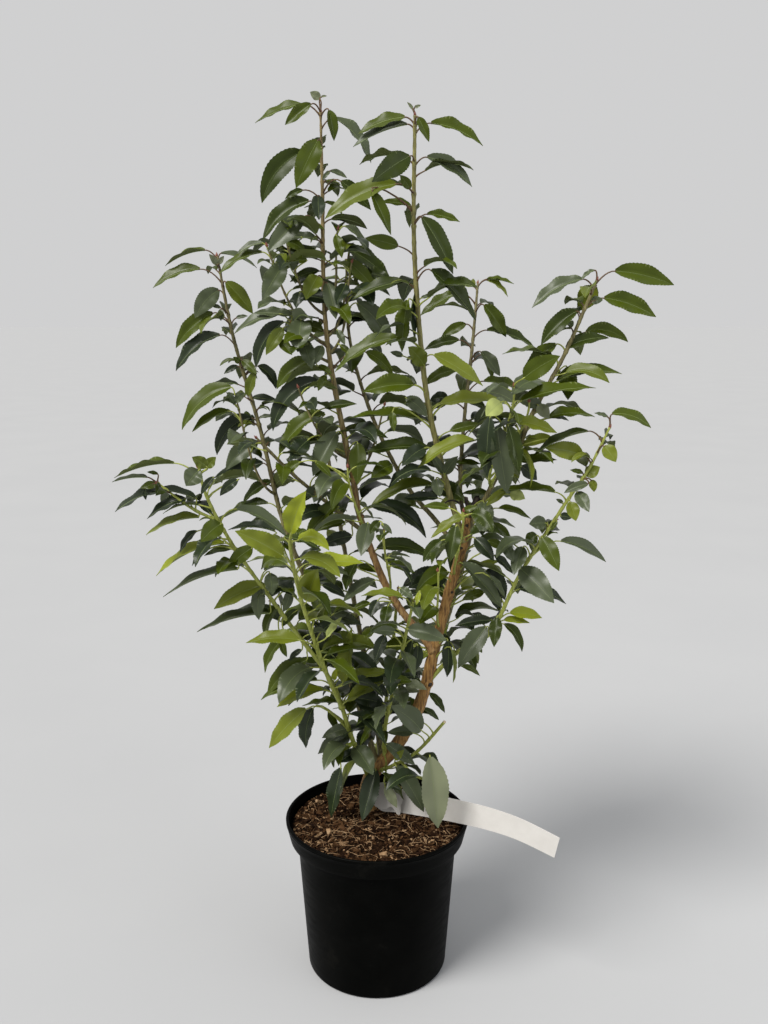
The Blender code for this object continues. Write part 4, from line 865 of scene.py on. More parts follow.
        (395, 632, 372, 632, 10, "g", "f"), (385, 635, 375, 662, 12, "d", "f"), (402, 597, 361, 596, 8, "l", "f"),
        (400, 588, 413, 598, 9, "g", "f"), (420, 592, 416, 605, 5, "y", "f"), (408, 629, 447, 641, 17, "g", "f"),
        (418, 645, 412, 673, 12, "d", "s"), (412, 640, 398, 672, 9, "d", "s"), (388, 680, 412, 682, 9, "m", "f"),
        (400, 676, 420, 679, 7, "d", "s"), (405, 683, 427, 690, 9, "p", "f"), (403, 690, 420, 692, 7, "p", "f"),
        (394, 697, 405, 695, 5, "m", "f"), (388, 675, 352, 680, 14, "d", "s"), (372, 683, 388, 697, 10, "d", "s"),
        (383, 703, 350, 697, 14, "d", "s"), (382, 713, 360, 746, 9, "m", "f"),
    ],
    "pruned_twig": [
        (421, 730, 391, 706, 21, "g", "f"), (413, 733, 387, 733, 10, "g", "f"), (416, 722, 403, 736, 12, "g", "s"),
        (386, 744, 415, 765, 13, "g", "f"), (395, 760, 404, 750, 7, "l", "f"), (396, 766, 424, 812, 17, "g", "f"),
        (383, 773, 404, 800, 8, "m", "f"), (385, 786, 397, 808, 10, "p", "f"), (385, 784, 401, 790, 6, "d", "f"),
        (430, 757, 438, 828, 27, "p", "f"),
    ],
}
TONE_OF = {"d": "deep", "k": "dark", "m": "mid", "n": "fresh", "l": "light", "y": "young", "g": "grey_sheen", "p": "pale",
           "t": "painted_lit"}
placed_feet = []        # where placed leaves leave their limbs

RED_LIMBS = {"left_main_stem": 0.55, "tall_right_bough": 0.62, "stub_bough": 0.2, "left_side_bough": 0.55, "right_bough": 0.75,
             "low_right_bough": 0.8, "back_left_bough": 0.5, "outer_left_side_bough": 0.7}


def petiole_kind(limb, share):
    return "red" if share > RED_LIMBS.get(limb, 9.0) else "green"


LIMB_SHOWS = {}


def shows_of(limb):
    """Samples of a limb: (share, place, pixel across, pixel down)."""
    if limb not in LIMB_SHOWS:
        line = LINES[limb]
        n = max(8, int(line.length / 0.004))
        rows = []
        for i in range(n + 1):
            p = line.point(i / n)
            rows.append((i / n, p, *seen_at(p)))
        LIMB_SHOWS[limb] = rows
    return LIMB_SHOWS[limb]


def turn_for(seen, width, fold):
    """How far a folded leaf is turned about its midrib to show a given width."""
    h, c, d = width / 2, math.cos(fold), math.sin(fold)
    q = min(1.0, seen / (2 * h * c))
    g = math.acos(q)
    if c * q >= d * math.sin(g):
        return g
    return min(math.pi / 2 + 0.2, fold + math.acos(max(0.05, min(1.0, seen / h))))


def carriers_of(limb):
    return [limb] + [n for n in TWIGS if TWIGS[n]["on"] == limb]


def set_leaf(limb, bx, by, tx, ty, wide, tone, stand, rng, bend=1.0):
    # the stem that bears it, and where on that its stalk leaves
    best = None
    for stem in carriers_of(limb):
        for share, p, px, py in shows_of(stem):
            if stem != limb and share < 0.12:
                continue
            gap = abs(px - bx)
            cost = gap + 0.9 * abs(py - (by + 5 + min(16.0, 0.40 * gap)))
            if best is None or cost < best[0]:
                best = (cost, stem, share, p)
    stem, share, stem_at = best[1:]
    out = {"s": 0.0, "f": -0.013, "b": 0.014}[stand]
    reach = math.hypot(seen_at(stem_at)[0] - bx, seen_at(stem_at)[1] - by)
    if stand == "f" and reach > 22:
        out *= 1.6
    base = place(bx, by, stem_at.y + out)
    scale = (base - CAM_AT).length / CAM_PIXELS
    chord = math.hypot(tx - bx, ty - by) * scale
    wide_m = wide * scale
    full = max(chord, min(0.062, wide_m * 2.7), 0.0) if chord > 0.022 else chord * 1.15
    deep = math.sqrt(max(0.0, full * full - chord * chord)) * 0.7
    deep = min(deep, chord * 0.8)
    sign = {"s": -0.35, "f": -1.0, "b": 1.0}[stand]
    tip = place(tx, ty, base.y + sign * deep)
    while tip.z < 0.1625 and math.hypot(tip.x, tip.y) < 0.11:
        tip = place(tx, ty, tip.y - 0.003)
    L = (tip - base).length
    along = (tip - base).normalized()
    # the blade arches up between its base and its tip
    away = base - stem_at
    away.z = 0
    away = away.normalized() if away.length > 1e-6 else Vector((0, -1, 0))
    lift = UP + away * 0.5
    lift = lift - along * lift.dot(along)
    lift = lift.normalized() if lift.length > 0.05 else away
    arch = (0.42 + rng.uniform(-0.06, 0.08)) * (1.0 - 0.45 * min(1.0, wide_m / (0.36 * L))) * bend
    if stand == "s":
        arch *= min(1.15, max(0.35, 0.35 + 1.15 * abs(along.z)))
    if abs(along.z) > 0.5 and stand != "s":
        arch *= 0.50
    elif along.z > 0.2:
        arch *= 0.5
    way = bend_points(base, base + (along + lift * arch * 1.15).normalized() * L * 0.36,
                      tip - (along - lift * arch).normalized() * L * 0.36, tip, LEAF_STEPS)
    view = (CAM_AT - (base + tip) / 2).normalized()
    facing = (view - along * view.dot(along)).normalized()
    side = along.cross(facing)
    fold = rng.uniform(0.50, 0.78) if wide_m < 0.4 * L else rng.uniform(0.34, 0.5)
    W = max(wide_m * 0.98 / math.cos(fold), min(0.025, L * 0.38))
    gamma = turn_for(wide_m, W, fold * 0.8)
    best = max((facing * math.cos(g) + side * math.sin(g) for g in (gamma, -gamma)), key=lambda v: v.z)
    twist = rng.uniform(-0.35, 0.35)
    normals = [turned_about(best, along, twist * (k / LEAF_STEPS - 0.35)) for k in range(LEAF_STEPS + 1)]
    blade(way, normals, W, TONE_OF[tone], fold=fold, wave=rng.uniform(0.5, 1.3), rng=rng)
    # its stalk
    start = way[0]
    d0 = (way[1] - way[0]).normalized()
    far = (start - stem_at).length
    grow = 1.0 if far < 0.03 else 1.15
    petiole(stem_at, start + d0 * 0.001, d0, petiole_kind(stem, share), 0.00084 * grow, 0.00064,
            start_dir=(LINES[stem].ahead(share) * 0.7 + (start - stem_at).normalized()).normalized())
    placed_feet.append((stem, share, (start - stem_at).normalized()))


place_rng = random.Random(41)
for limb, rows in PLACED.items():
    for row in rows:
        set_leaf(limb, *row[:7], place_rng, *row[7:])

# ------------------------------------------------------- leaves by rule
# Where each limb bears leaves of its own, how far apart in mm, how long in mm,
# and the mix of tones, from its first leaf to its last.
OLD, NEW = ("deep", "deep", "dark", "dark", "mid", "grey_sheen"), ("dark", "mid", "mid", "fresh", "grey_sheen")
REAR = ("dark", "mid", "mid", "light", "grey_sheen")
GROWTH = {
    "left_main_stem": dict(part=(0.30, 0.99), gap=13, size=(58, 40), tones=(OLD, NEW)),
    "tall_right_bough": dict(part=(0.16, 0.99), gap=14, size=(60, 42), tones=(OLD, NEW)),
    "stub_bough": dict(part=(0.14, 0.99), gap=13, size=(54, 36), tones=(OLD, NEW)),
    "back_left_bough": dict(part=(0.16, 0.99), gap=12, size=(56, 40), tones=(OLD, OLD)),
    "left_side_bough": dict(part=(0.10, 0.98), gap=13, size=(58, 38), tones=(OLD, NEW)),
    "outer_left_bough": dict(part=(0.12, 0.98), gap=13, size=(58, 38), tones=(OLD, NEW)),
    "outer_left_side_bough": dict(part=(0.25, 0.98), gap=13, size=(46, 34), tones=(OLD, NEW)),
    "front_left_bough": dict(part=(0.12, 0.98), gap=13, size=(56, 40), tones=(OLD, ("mid", "light", "young", "light"))),
    "left_inner_bough": dict(part=(0.12, 0.98), gap=12, size=(52, 36), tones=(OLD, OLD)),
    "right_bough": dict(part=(0.12, 0.98), gap=14, size=(58, 40), tones=(OLD, NEW)),
    "low_right_bough": dict(part=(0.12, 0.98), gap=13, size=(56, 38), tones=(OLD, NEW)),
    "right_main_stem": dict(part=(0.10, 0.95), gap=16, size=(56, 48), tones=(OLD, OLD)),
    "front_twig": dict(part=(0.14, 0.98), gap=12, size=(54, 38), tones=(OLD, OLD)),
    "pruned_twig": dict(part=(0.10, 0.80), gap=14, size=(52, 40), tones=(OLD, OLD)),
    "rear_left_bough": dict(part=(0.12, 0.98), gap=11, size=(60, 42), tones=(OLD, REAR)),
    "rear_right_bough": dict(part=(0.12, 0.98), gap=11, size=(60, 42), tones=(OLD, REAR)),
    "rear_low_bough": dict(part=(0.12, 0.98), gap=11, size=(56, 40), tones=(OLD, REAR)),
}
for name in TWIGS:
    GROWTH[name] = dict(part=(0.30, 0.98), gap=12, size=(50, 34), tones=(OLD, NEW))

LO, HI = Vector(CAD_BOX[0]), Vector(CAD_BOX[1])


def grown_leaf(a, stem_dir, out, L, rng):
    """The line and the normals of a leaf that leaves a stem outwards and hangs from its arch."""
    stalk = rng.uniform(0.010, 0.015) * (L / 0.055) ** 0.5
    start_dir = (stem_dir * 0.75 + out * 0.8).normalized()
    flat = Vector((out.x, out.y, 0))
    flat = flat.normalized() if flat.length > 0.2 else (Vector((out.x, out.y, 0)) + Vector((rng.uniform(-1, 1), rng.uniform(-1, 1), 0))).normalized()
    e0 = math.radians(rng.uniform(5, 42))
    e1 = math.radians(rng.uniform(-66, -18))
    base = a + (start_dir * 0.6 + flat * 0.4 + UP * 0.1).normalized() * stalk
    way = [base.copy()]
    bow = rng.uniform(-0.25, 0.25)
    step = L / LEAF_STEPS
    for k in range(LEAF_STEPS):
        t = (k + 0.5) / LEAF_STEPS
        e = e0 + (e1 - e0) * t ** 0.9
        h = turned_about(flat, UP, bow * t)
        way.append(way[-1] + (h * math.cos(e) + UP * math.sin(e)) * step)
    roll = rng.gauss(0, 0.5)
    normals = []
    for k in range(LEAF_STEPS + 1):
        t = k / LEAF_STEPS
        T = (way[min(k + 1, LEAF_STEPS)] - way[max(k - 1, 0)]).normalized()
        N = UP - T * UP.dot(T)
        if N.length < 0.15:
            N = flat - T * flat.dot(T)
        normals.append(turned_about(N.normalized(), T, roll * (0.6 + 0.4 * t)))
    return start_dir, way, normals


def fits(way, normals, width, slack=0):
    pts = []
    for k in (2, LEAF_STEPS // 3, LEAF_STEPS // 2, 3 * LEAF_STEPS // 4, LEAF_STEPS):
        pts.append(way[k])
    k = LEAF_STEPS * 2 // 5
    T = (way[k + 1] - way[k - 1]).normalized()
    S = T.cross(normals[k])
    pts += [way[k] + S * width * 0.45, way[k] - S * width * 0.45]
    for p in pts:
        if any(p[i] < LO[i] - 0.004 or p[i] > HI[i] + 0.004 for i in range(3)):
            return False
        if p.z < 0.176 and math.hypot(p.x, p.y) < 0.12 and p.z < 0.166:
            return False
    return in_the_way(pts) <= slack


rule_count = [0, 0]
for limb_number, (limb, g) in enumerate(GROWTH.items()):
    grow_rng = random.Random(70 + limb_number)
    line = LINES[limb]
    a0, a1 = g["part"]
    span = line.length * (a1 - a0)
    count = max(2, int(span / (g["gap"] * MM)))
    turn = grow_rng.uniform(0, 6.28)
    for i in range(count):
        f = (i + grow_rng.uniform(-0.25, 0.25) + 0.5) / count
        share = a0 + (a1 - a0) * f
        at = line.point(share)
        ahead = line.ahead(share)
        side = ahead.orthogonal().normalized()
        done = False
        size = g["size"][0] + (g["size"][1] - g["size"][0]) * f ** 1.5
        size *= grow_rng.uniform(0.82, 1.12) * MM
        tones = g["tones"][1] if grow_rng.random() < f else g["tones"][0]
        tone = grow_rng.choice(tones)
        for attempt in range(9):
            az = turn + 2.39996 * i + (0, 0.5, -0.5, 0.9, -0.9, 1.4, -1.4, 2.0, -2.0)[attempt]
            out = turned_about(side, ahead, az)
            foot = at + out * limb_radius(limb, share) * 0.6
            taken = any(l == limb and abs(s - share) * line.length < 0.008 and d.dot(out) > 0.4 for l, s, d in placed_feet)
            if taken:
                continue
            L = size * (1.0 if attempt < 5 else 0.85)
            width = L * grow_rng.uniform(0.38, 0.47)
            start_dir, way, normals = grown_leaf(foot, ahead, out, L, grow_rng)
            if fits(way, normals, width):
                blade(way, normals, width, tone, fold=grow_rng.uniform(0.35, 0.72), wave=grow_rng.uniform(0.5, 1.4), rng=grow_rng)
                d0 = (way[1] - way[0]).normalized()
                petiole(foot, way[0] + d0 * 0.001, d0, petiole_kind(limb, share), start_dir=start_dir)
                done = True
                break
        rule_count[0 if done else 1] += 1
        # a tuft of very small leaves in the axil of some
        if grow_rng.random() < 0.30:
            out = turned_about(side, ahead, turn + 2.39996 * i + grow_rng.uniform(-0.4, 0.4))
            foot = at + out * limb_radius(limb, share) * 0.6
            for _ in range(grow_rng.choice((1, 2, 2, 3))):
                L = grow_rng.uniform(0.010, 0.022)
                o = turned_about(out, ahead, grow_rng.uniform(-0.9, 0.9))
                start_dir, way, normals = grown_leaf(foot, ahead, o, L, grow_rng)
                if fits(way, normals, L * 0.4):
                    blade(way, normals, L * 0.38, grow_rng.choice(("mid", "light", "grey_sheen")), fold=0.6, wave=0.2, rng=grow_rng)
                    d0 = (way[1] - way[0]).normalized()
                    petiole(foot, way[0] + d0 * 0.0005, d0, petiole_kind(limb, share), 0.0006, 0.0004, start_dir=start_dir)

# ----------------------------------------------------------------- stems
stem_heaps = {k: Heap() for k in ("trunk", "brown", "olive", "tan", "green")}


def bark_relief(kind, seed):
    deep = {"trunk": 0.10, "brown": 0.07, "olive": 0.05, "tan": 0.04, "green": 0.035}[kind]

    def relief(p, out, share, a, r):
        q = Vector((p.x * 150 + out.x * 2.2 + seed, p.y * 150 + out.y * 2.2, p.z * 32))
        streak = noise.noise(q)
        fine = noise.noise(Vector((p.x * 420 + out.x * 5, p.y * 420 + out.y * 5 + seed, p.z * 260)))
        ring = noise.noise(Vector((seed * 3.1, p.z * 240, p.x * 240)))
        d = streak * deep + fine * deep * 0.6 + max(0.0, ring - 0.35) * deep * 1.6
        return r * d

    return relief


for index, name in enumerate(list(LIMBS)):
    spec = LIMBS[name]
    line = LINES[name]
    kind = spec["bark"]
    step = 0.0016 if kind == "trunk" else 0.0024
    n = max(8, int(line.length / step))
    pts = [line.point(i / n) for i in range(n + 1)]
    base_r = limb_radius(name, 0.0)
    carried = spec["on"] and not spec.get("end_on")
    # swellings where leaves join
    knots = [s for l, s, d in placed_feet if l == name]
    g = GROWTH.get(name)
    if g:
        c = max(2, int(line.length * (g["part"][1] - g["part"][0]) / (g["gap"] * MM)))
        knots += [g["part"][0] + (g["part"][1] - g["part"][0]) * (i + 0.5) / c for i in range(c)]

    def radius_at(s, name=name, line=line, base_r=base_r, carried=carried, knots=knots):
        r = limb_radius(name, s)
        if name not in ("trunk", "right_main_stem", "pruned_twig"):
            r *= 1.0 - 0.28 * max(0.0, (s - 0.86) / 0.14) ** 2
        d = s * line.length
        if carried:
            r += base_r * 0.75 * math.exp(-d / (base_r * 2.2))
        for k in knots:
            x = (d - k * line.length) / 0.0016
            if abs(x) < 3:
                r += 0.00028 * math.exp(-x * x)
        return r

    sides = 26 if kind == "trunk" else (14 if spec["r"][0] > 2.5 else 10)
    tip = "flat" if name in ("pruned_twig", "right_main_stem") else "round"
    slot = 0
    if name == "left_main_stem":
        # brown at its foot, turning olive in streaks further up
        slot = []
        for i in range(n):
            turned_olive = (i / n - 0.24) / 0.20
            for k in range(sides):
                slot.append(1 if turned_olive > 0.5 + 0.9 * noise.noise(Vector((k * 0.9, 3.7, i * 0.11))) else 0)
        slot += [0, 1] * sides
    sweep(stem_heaps[kind], pts, radius_at, sides, slot, bark_relief(kind, index * 7.3), tip=tip)

all_nodes = sorted(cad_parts)
limb_nodes = [n for n in all_nodes if n in LIMBS]
leaf_nodes = [n for n in all_nodes if n.endswith("_leaves")]

# ---------------------------------------------------------------- foliage
for tone, heap in leaf_heaps.items():
    if heap.faces:
        for obj in heap.pieces("leaves_" + tone, list(LEAF_MATS[tone]), "laurel_leaves", crisp=75):
            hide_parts(*leaf_nodes)
rib_heap.pieces("leaf_midribs", [MAT_RIB], "laurel_leaves")
petiole_heaps["green"].pieces("leaf_stalks_green", [MAT_GREEN], "green_shoot")
petiole_heaps["red"].pieces("leaf_stalks_brown", [MAT_RED], "green_shoot")

# ------------------------------------------------- buds, cuts and dead ends
bud_heap, dead_heap, cut_heap = Heap(), Heap(), Heap()
bud_rng = random.Random(5)


def bud(at, direction, size, rng):
    """A pointed bud of a few scales."""
    pts = [at + direction * size * f for f in (0.0, 0.18, 0.4, 0.62, 0.82, 1.0)]
    widths = (0.55, 0.95, 1.0, 0.78, 0.45, 0.12)

    def r(s_):
        x = s_ * (len(widths) - 1)
        i = min(int(x), len(widths) - 2)
        return size * 0.24 * (widths[i] + (widths[i + 1] - widths[i]) * (x - i))

    sweep(bud_heap, pts, r, 8)


for name in LIMBS:
    if name in ("trunk", "right_main_stem", "pruned_twig"):
        continue
    line = LINES[name]
    tip, ahead = line.point(1.0), line.ahead(0.995)
    bud(tip - ahead * 0.0004, ahead, 0.0044, bud_rng)
    side = ahead.orthogonal().normalized()
    for k in range(3):
        d = (turned_about(side, ahead, 2.1 * k + bud_rng.uniform(0, 1)) * 0.55 + ahead).normalized()
        bud(tip - ahead * 0.001, d, bud_rng.uniform(0.0026, 0.0036), bud_rng)
for limb, share, away in placed_feet:
    if bud_rng.random() < 0.55 and limb in LIMBS:
        line = LINES[limb]
        d = (away * 0.8 + line.ahead(share)).normalized()
        bud(line.point(share) + away * limb_radius(limb, share) * 0.8, d, bud_rng.uniform(0.0022, 0.0034), bud_rng)

# the pruned top of the right stem, with the black ends of old shoots
top = LINES["right_main_stem"].point(1.0)
up = LINES["right_main_stem"].ahead(0.99)
sweep(dead_heap, [top - up * 0.004, top + up * 0.001, top + up * 0.0022], lambda s_: 0.0052 - 0.0012 * s_, 16, 0, tip="flat")
for end, thick in ((place(465.5, 498, 0.008), 0.0021), (place(477.5, 498, 0.012), 0.0034), (place(487, 494, 0.014), 0.0012)):
    mid = top.lerp(end, 0.5) + Vector((0.0012, 0, -0.0008))
    sweep(dead_heap, bend_points(top - up * 0.004, mid, mid, end, 8), lambda s_, r=thick: r * (0.75 + 0.35 * s_), 9,
          0, lambda p, out, s_, a, r: r * 0.16 * noise.noise(p * 700))
twist = [top - up * 0.002, place(459, 497, 0.006), place(450, 499, 0.004), place(445, 503, 0.004)]
sweep(dead_heap, bend_points(*twist, 10), lambda s_: 0.0013 * (1 - 0.4 * s_), 7)

# knots where shoots were cut from the trunk and its fork
for limb, px, py, wide in (("trunk", 430, 683, 0.0046), ("trunk", 437, 668, 0.0026), ("trunk", 413, 727, 0.0026), ("trunk", 373, 788, 0.0030),
                           ("right_main_stem", 452, 590, 0.0030), ("right_main_stem", 462, 545, 0.0030), ("right_main_stem", 467, 525, 0.0034),
                           ("right_main_stem", 472, 534, 0.0026), ("right_main_stem", 458, 556, 0.0024),
                           ("left_main_stem", 386, 588, 0.0018), ("left_main_stem", 366, 515, 0.0018)):
    rows = shows_of(limb)
    near = min(rows, key=lambda r: (r[2] - px) ** 2 + (r[3] - py) ** 2)
    r = limb_radius(limb, near[0])
    face = (CAM_AT - near[1]).normalized()
    ahead = LINES[limb].ahead(near[0])
    across = ahead.cross(face).normalized()
    shift = (px - near[2]) * 0.001
    out = (face * math.sqrt(max(0.1, 1 - min(0.8, abs(shift) / r) ** 2)) + Vector((shift / r, 0, 0))).normalized()
    out = (out - ahead * out.dot(ahead)).normalized()
    p0 = near[1] + out * r * 0.55
    p1 = near[1] + out * (r + 0.0010)
    sweep(stem_heaps["trunk"] if limb != "left_main_stem" else stem_heaps["brown"],
          [p0, p0.lerp(p1, 0.5), p1 - out * 0.0003, p1], lambda s_, w=wide: w * (1.25 - 0.42 * s_), 14,
          0, lambda p, o, s_, a, r: r * 0.14 * noise.noise(p * 420), tip="flat")
    sweep(dead_heap, [p1 - out * 0.0010, p1 - out * 0.0003, p1 + out * 0.00025], lambda s_, w=wide: w * 0.60 * (1 - 0.2 * s_), 12,
          0, lambda p, o, s_, a, r: r * 0.22 * noise.noise(p * 500), tip="flat")

# the pale cut at the end of the pruned twig
tip, ahead = LINES["pruned_twig"].point(1.0), LINES["pruned_twig"].ahead(0.995)
sweep(cut_heap, [tip - ahead * 0.0006, tip + ahead * 0.0001, tip + ahead * 0.0003], lambda s_: 0.00168 - 0.0002 * s_, 14, 0, tip="flat")

stem_mats = {"trunk": [MAT_TRUNK], "brown": [MAT_BROWN, MAT_UPPER], "olive": [MAT_OLIVE], "tan": [MAT_TAN], "green": [MAT_GREEN]}
stem_slot = {"trunk": "brown_bark", "brown": "brown_bark", "olive": "green_shoot", "tan": "green_shoot", "green": "green_shoot"}


for kind, heap in stem_heaps.items():
    obj = heap.piece("stems_" + kind, stem_mats[kind], stem_slot[kind])
    mine = [n for n in limb_nodes if LIMBS[n]["bark"] == kind]
    if mine:
        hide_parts(*mine)

bud_heap.pieces("buds", [MAT_BUD], "green_shoot")
dead_heap.piece("dead_ends", [MAT_DEAD], "brown_bark")
cut_heap.piece("cut_end", [MAT_CUT], "brown_bark", smooth=False)

# -------------------------------------------------------------------- pot
POT_HEIGHT, POT_RIM_R, POT_BAND_LOW_R, POT_BAND_H = 0.168, 0.0970, 0.0925, 0.022
POT_SHOULDER_R, POT_BASE_R, POT_WALL, POT_LIP = 0.0845, 0.0745, 0.0022, 0.0034
SOIL_LEVEL, SOIL_MOUND = 0.158, 0.0015


def turned(profile, steps, heap, closed=False):
    """A profile (radius, height) turned round the upright axis, as quads."""
    co, faces = [], []
    for r, z in profile:
        for k in range(steps):
            a = 2 * math.pi * k / steps
            co.append(Vector((r * math.cos(a), r * math.sin(a), z)))
    rows = len(profile)
    for i in range(rows - 1):
        for k in range(steps):
            j = (k + 1) % steps
            faces.append((i * steps + k, i * steps + j, (i + 1) * steps + j, (i + 1) * steps + k))
    if closed:
        for k in range(steps):
            j = (k + 1) % steps
            faces.append(((rows - 1) * steps + k, (rows - 1) * steps + j, j, k))
    else:
        faces.append(tuple(reversed(range(steps))))
        faces.append(tuple((rows - 1) * steps + k for k in range(steps)))
    heap.add(co, faces)


def arc(cx, cz, r, a0, a1, n):
    return [(cx + r * math.cos(math.radians(a0 + (a1 - a0) * i / n)), cz + r * math.sin(math.radians(a0 + (a1 - a0) * i / n)))
            for i in range(n + 1)]


band_z = POT_HEIGHT - POT_BAND_H
lip_r = POT_LIP * 0.5
profile = [(0.012, 0.0022), (0.060, 0.0022), (0.0625, 0.0)]
profile += [(POT_BASE_R - 0.0035, 0.0)] + arc(POT_BASE_R - 0.0035, 0.0035, 0.0035, -75, 0, 5)
for i in range(1, 9):
    f = i / 9
    profile.append((POT_BASE_R + (POT_SHOULDER_R - POT_BASE_R) * f, 0.0035 + (band_z - 0.0055) * f))
profile += [(POT_SHOULDER_R, band_z - 0.0022), (POT_SHOULDER_R + 0.0006, band_z - 0.0008), (POT_BAND_LOW_R - 0.0016, band_z - 0.0003),
            (POT_BAND_LOW_R - 0.0004, band_z + 0.0001), (POT_BAND_LOW_R, band_z + 0.0010)]
for i in range(1, 4):
    f = i / 4
    profile.append((POT_BAND_LOW_R + (POT_RIM_R - 0.0006 - POT_BAND_LOW_R) * f, band_z + 0.001 + (POT_BAND_H - 0.0058) * f))
profile += [(POT_RIM_R - 0.0006, POT_HEIGHT - 0.0046), (POT_RIM_R - 0.0002, POT_HEIGHT - 0.0040)]
profile += arc(POT_RIM_R - lip_r, POT_HEIGHT - lip_r, lip_r, -40, 200, 12)
inner_shoulder, inner_base = POT_SHOULDER_R - POT_WALL, POT_BASE_R - POT_WALL
profile += [(POT_RIM_R - POT_LIP, POT_HEIGHT - 0.0040), (POT_BAND_LOW_R - POT_WALL, band_z + 0.0050), (inner_shoulder, band_z - 0.0005),
            (inner_base, 0.0046), (0.012, 0.0046)]
pot_heap = Heap()
turned(profile, 160, pot_heap, closed=True)
pot = pot_heap.piece("pot_shell", [MAT_POT], "pot_plastic")
pot.data.set_sharp_from_angle(angle=math.radians(38))
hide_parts("pot")

# ---------------------------------------------------------- potting mix
soil_rng = random.Random(19)


def soil_top(x, y):
    r = math.hypot(x, y) / 0.091
    lumps = noise.noise(Vector((x * 90, y * 90, 3.1))) * 0.0016 + noise.noise(Vector((x * 260, y * 260, 9.7))) * 0.0011
    return SOIL_LEVEL + SOIL_MOUND * (1 - r * r) - 0.0008 + lumps


soil_heap = Heap()
rings, steps = 46, 150
co, faces = [], []
edge = 0.0918
for i in range(1, rings + 1):
    r = edge * i / rings
    for k in range(steps):
        a = 2 * math.pi * k / steps
        x, y = r * math.cos(a), r * math.sin(a)
        z = soil_top(x, y)
        if i == rings:
            z -= 0.0006
        co.append(Vector((x, y, z)))
low = [(0.0895, 0.1515), (0.0815, 0.1465), (0.0718, 0.0050)]
for r, z in low:
    for k in range(steps):
        a = 2 * math.pi * k / steps
        co.append(Vector((r * math.cos(a), r * math.sin(a), z)))
total = rings + len(low)
for i in range(total - 1):
    for k in range(steps):
        j = (k + 1) % steps
        faces.append((i * steps + k, (i + 1) * steps + k, (i + 1) * steps + j, i * steps + j))
faces.append(tuple(range(steps)))
faces.append(tuple(reversed([(total - 1) * steps + k for k in range(steps)])))
soil_heap.add(co, faces)
soil = soil_heap.piece("potting_mix_bed", [MAT_SOIL], "potting_mix")
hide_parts("soil")

chip_heaps = {"dark": Heap(), "brown": Heap(), "pale": Heap()}


def chip(heap, at, size, rng):
    """One angular crumb: a stretched, knocked-about box."""
    rot = Matrix.Rotation(rng.uniform(0, 6.28), 3, "Z") @ Matrix.Rotation(rng.uniform(-0.6, 0.6), 3, "X") @ Matrix.Rotation(rng.uniform(-0.6, 0.6), 3, "Y")
    sx, sy, sz = size
    co = []
    for x in (-1, 1):
        for y in (-1, 1):
            for z in (-1, 1):
                v = Vector((x * sx * rng.uniform(0.55, 1.0), y * sy * rng.uniform(0.55, 1.0), z * sz * rng.uniform(0.5, 1.0))) * 0.5
                co.append(at + rot @ v)
    faces = [(0, 1, 3, 2), (4, 6, 7, 5), (0, 4, 5, 1), (2, 3, 7, 6), (0, 2, 6, 4), (1, 5, 7, 3)]
    heap.add(co, faces)


def in_pot(rng, most=0.0905):
    r = most * math.sqrt(rng.random())
    a = rng.uniform(0, 2 * math.pi)
    return r * math.cos(a), r * math.sin(a)


for _ in range(3600):
    x, y = in_pot(soil_rng, 0.0900)
    kind = soil_rng.choices(("dark", "brown", "pale"), (0.42, 0.48, 0.10))[0]
    s = soil_rng.uniform(0.0012, 0.0030) * (1.0 if soil_rng.random() > 0.08 else 1.9)
    long = soil_rng.uniform(1.0, 2.6)
    size = (s * long, s, s * soil_rng.uniform(0.35, 0.8))
    if math.hypot(x, y) + size[0] * 0.5 > 0.0915:
        continue
    z = soil_top(x, y) + size[2] * soil_rng.uniform(0.0, 0.6)
    chip(chip_heaps[kind], Vector((x, y, z)), size, soil_rng)
for _ in range(260):
    # a fibre lying in the mix
    x, y = in_pot(soil_rng, 0.084)
    L = soil_rng.uniform(0.006, 0.020)
    a = soil_rng.uniform(0, 6.28)
    d = Vector((math.cos(a), math.sin(a), 0))
    s = Vector((-d.y, d.x, 0)) * soil_rng.uniform(-0.4, 0.4)
    p0 = Vector((x, y, 0))
    pts = []
    for i in range(7):
        t = i / 6
        q = p0 + d * L * (t - 0.5) + s * L * math.sin(t * 3.14)
        if math.hypot(q.x, q.y) > 0.0905:
            q *= 0.0905 / math.hypot(q.x, q.y)
        q.z = soil_top(q.x, q.y) + 0.0012 + 0.0016 * math.sin(t * 3.14 + soil_rng.uniform(-0.2, 0.2))
        pts.append(q)
    r = soil_rng.uniform(0.00022, 0.00045)
    sweep(chip_heaps[soil_rng.choice(("brown", "pale", "pale"))], pts, lambda s_, r=r: r * (1 - 0.5 * s_), 5)
for kind, mat in (("dark", MAT_CHIP_DARK), ("brown", MAT_CHIP), ("pale", MAT_CHIP_PALE)):
    chip_heaps[kind].piece("potting_mix_" + kind, [mat], "potting_mix", smooth=False)

# ------------------------------------------------------------------ label
LABEL_WAY = [(-0.1, 1.5, 17.65), (2.3, 1.9, 17.30), (5.6, -0.1, 17.75), (8.8, -2.35, 18.20),
             (11.6, -4.2, 18.4), (14.5, -6.0, 18.2), (17.9, -7.9, 17.3)]
LABEL_WIDTH, LABEL_THICK, LABEL_LEAN = 0.0254, 0.0008, (12.0, -8.0)
label_line = Line(smooth_way(LABEL_WAY, 6))


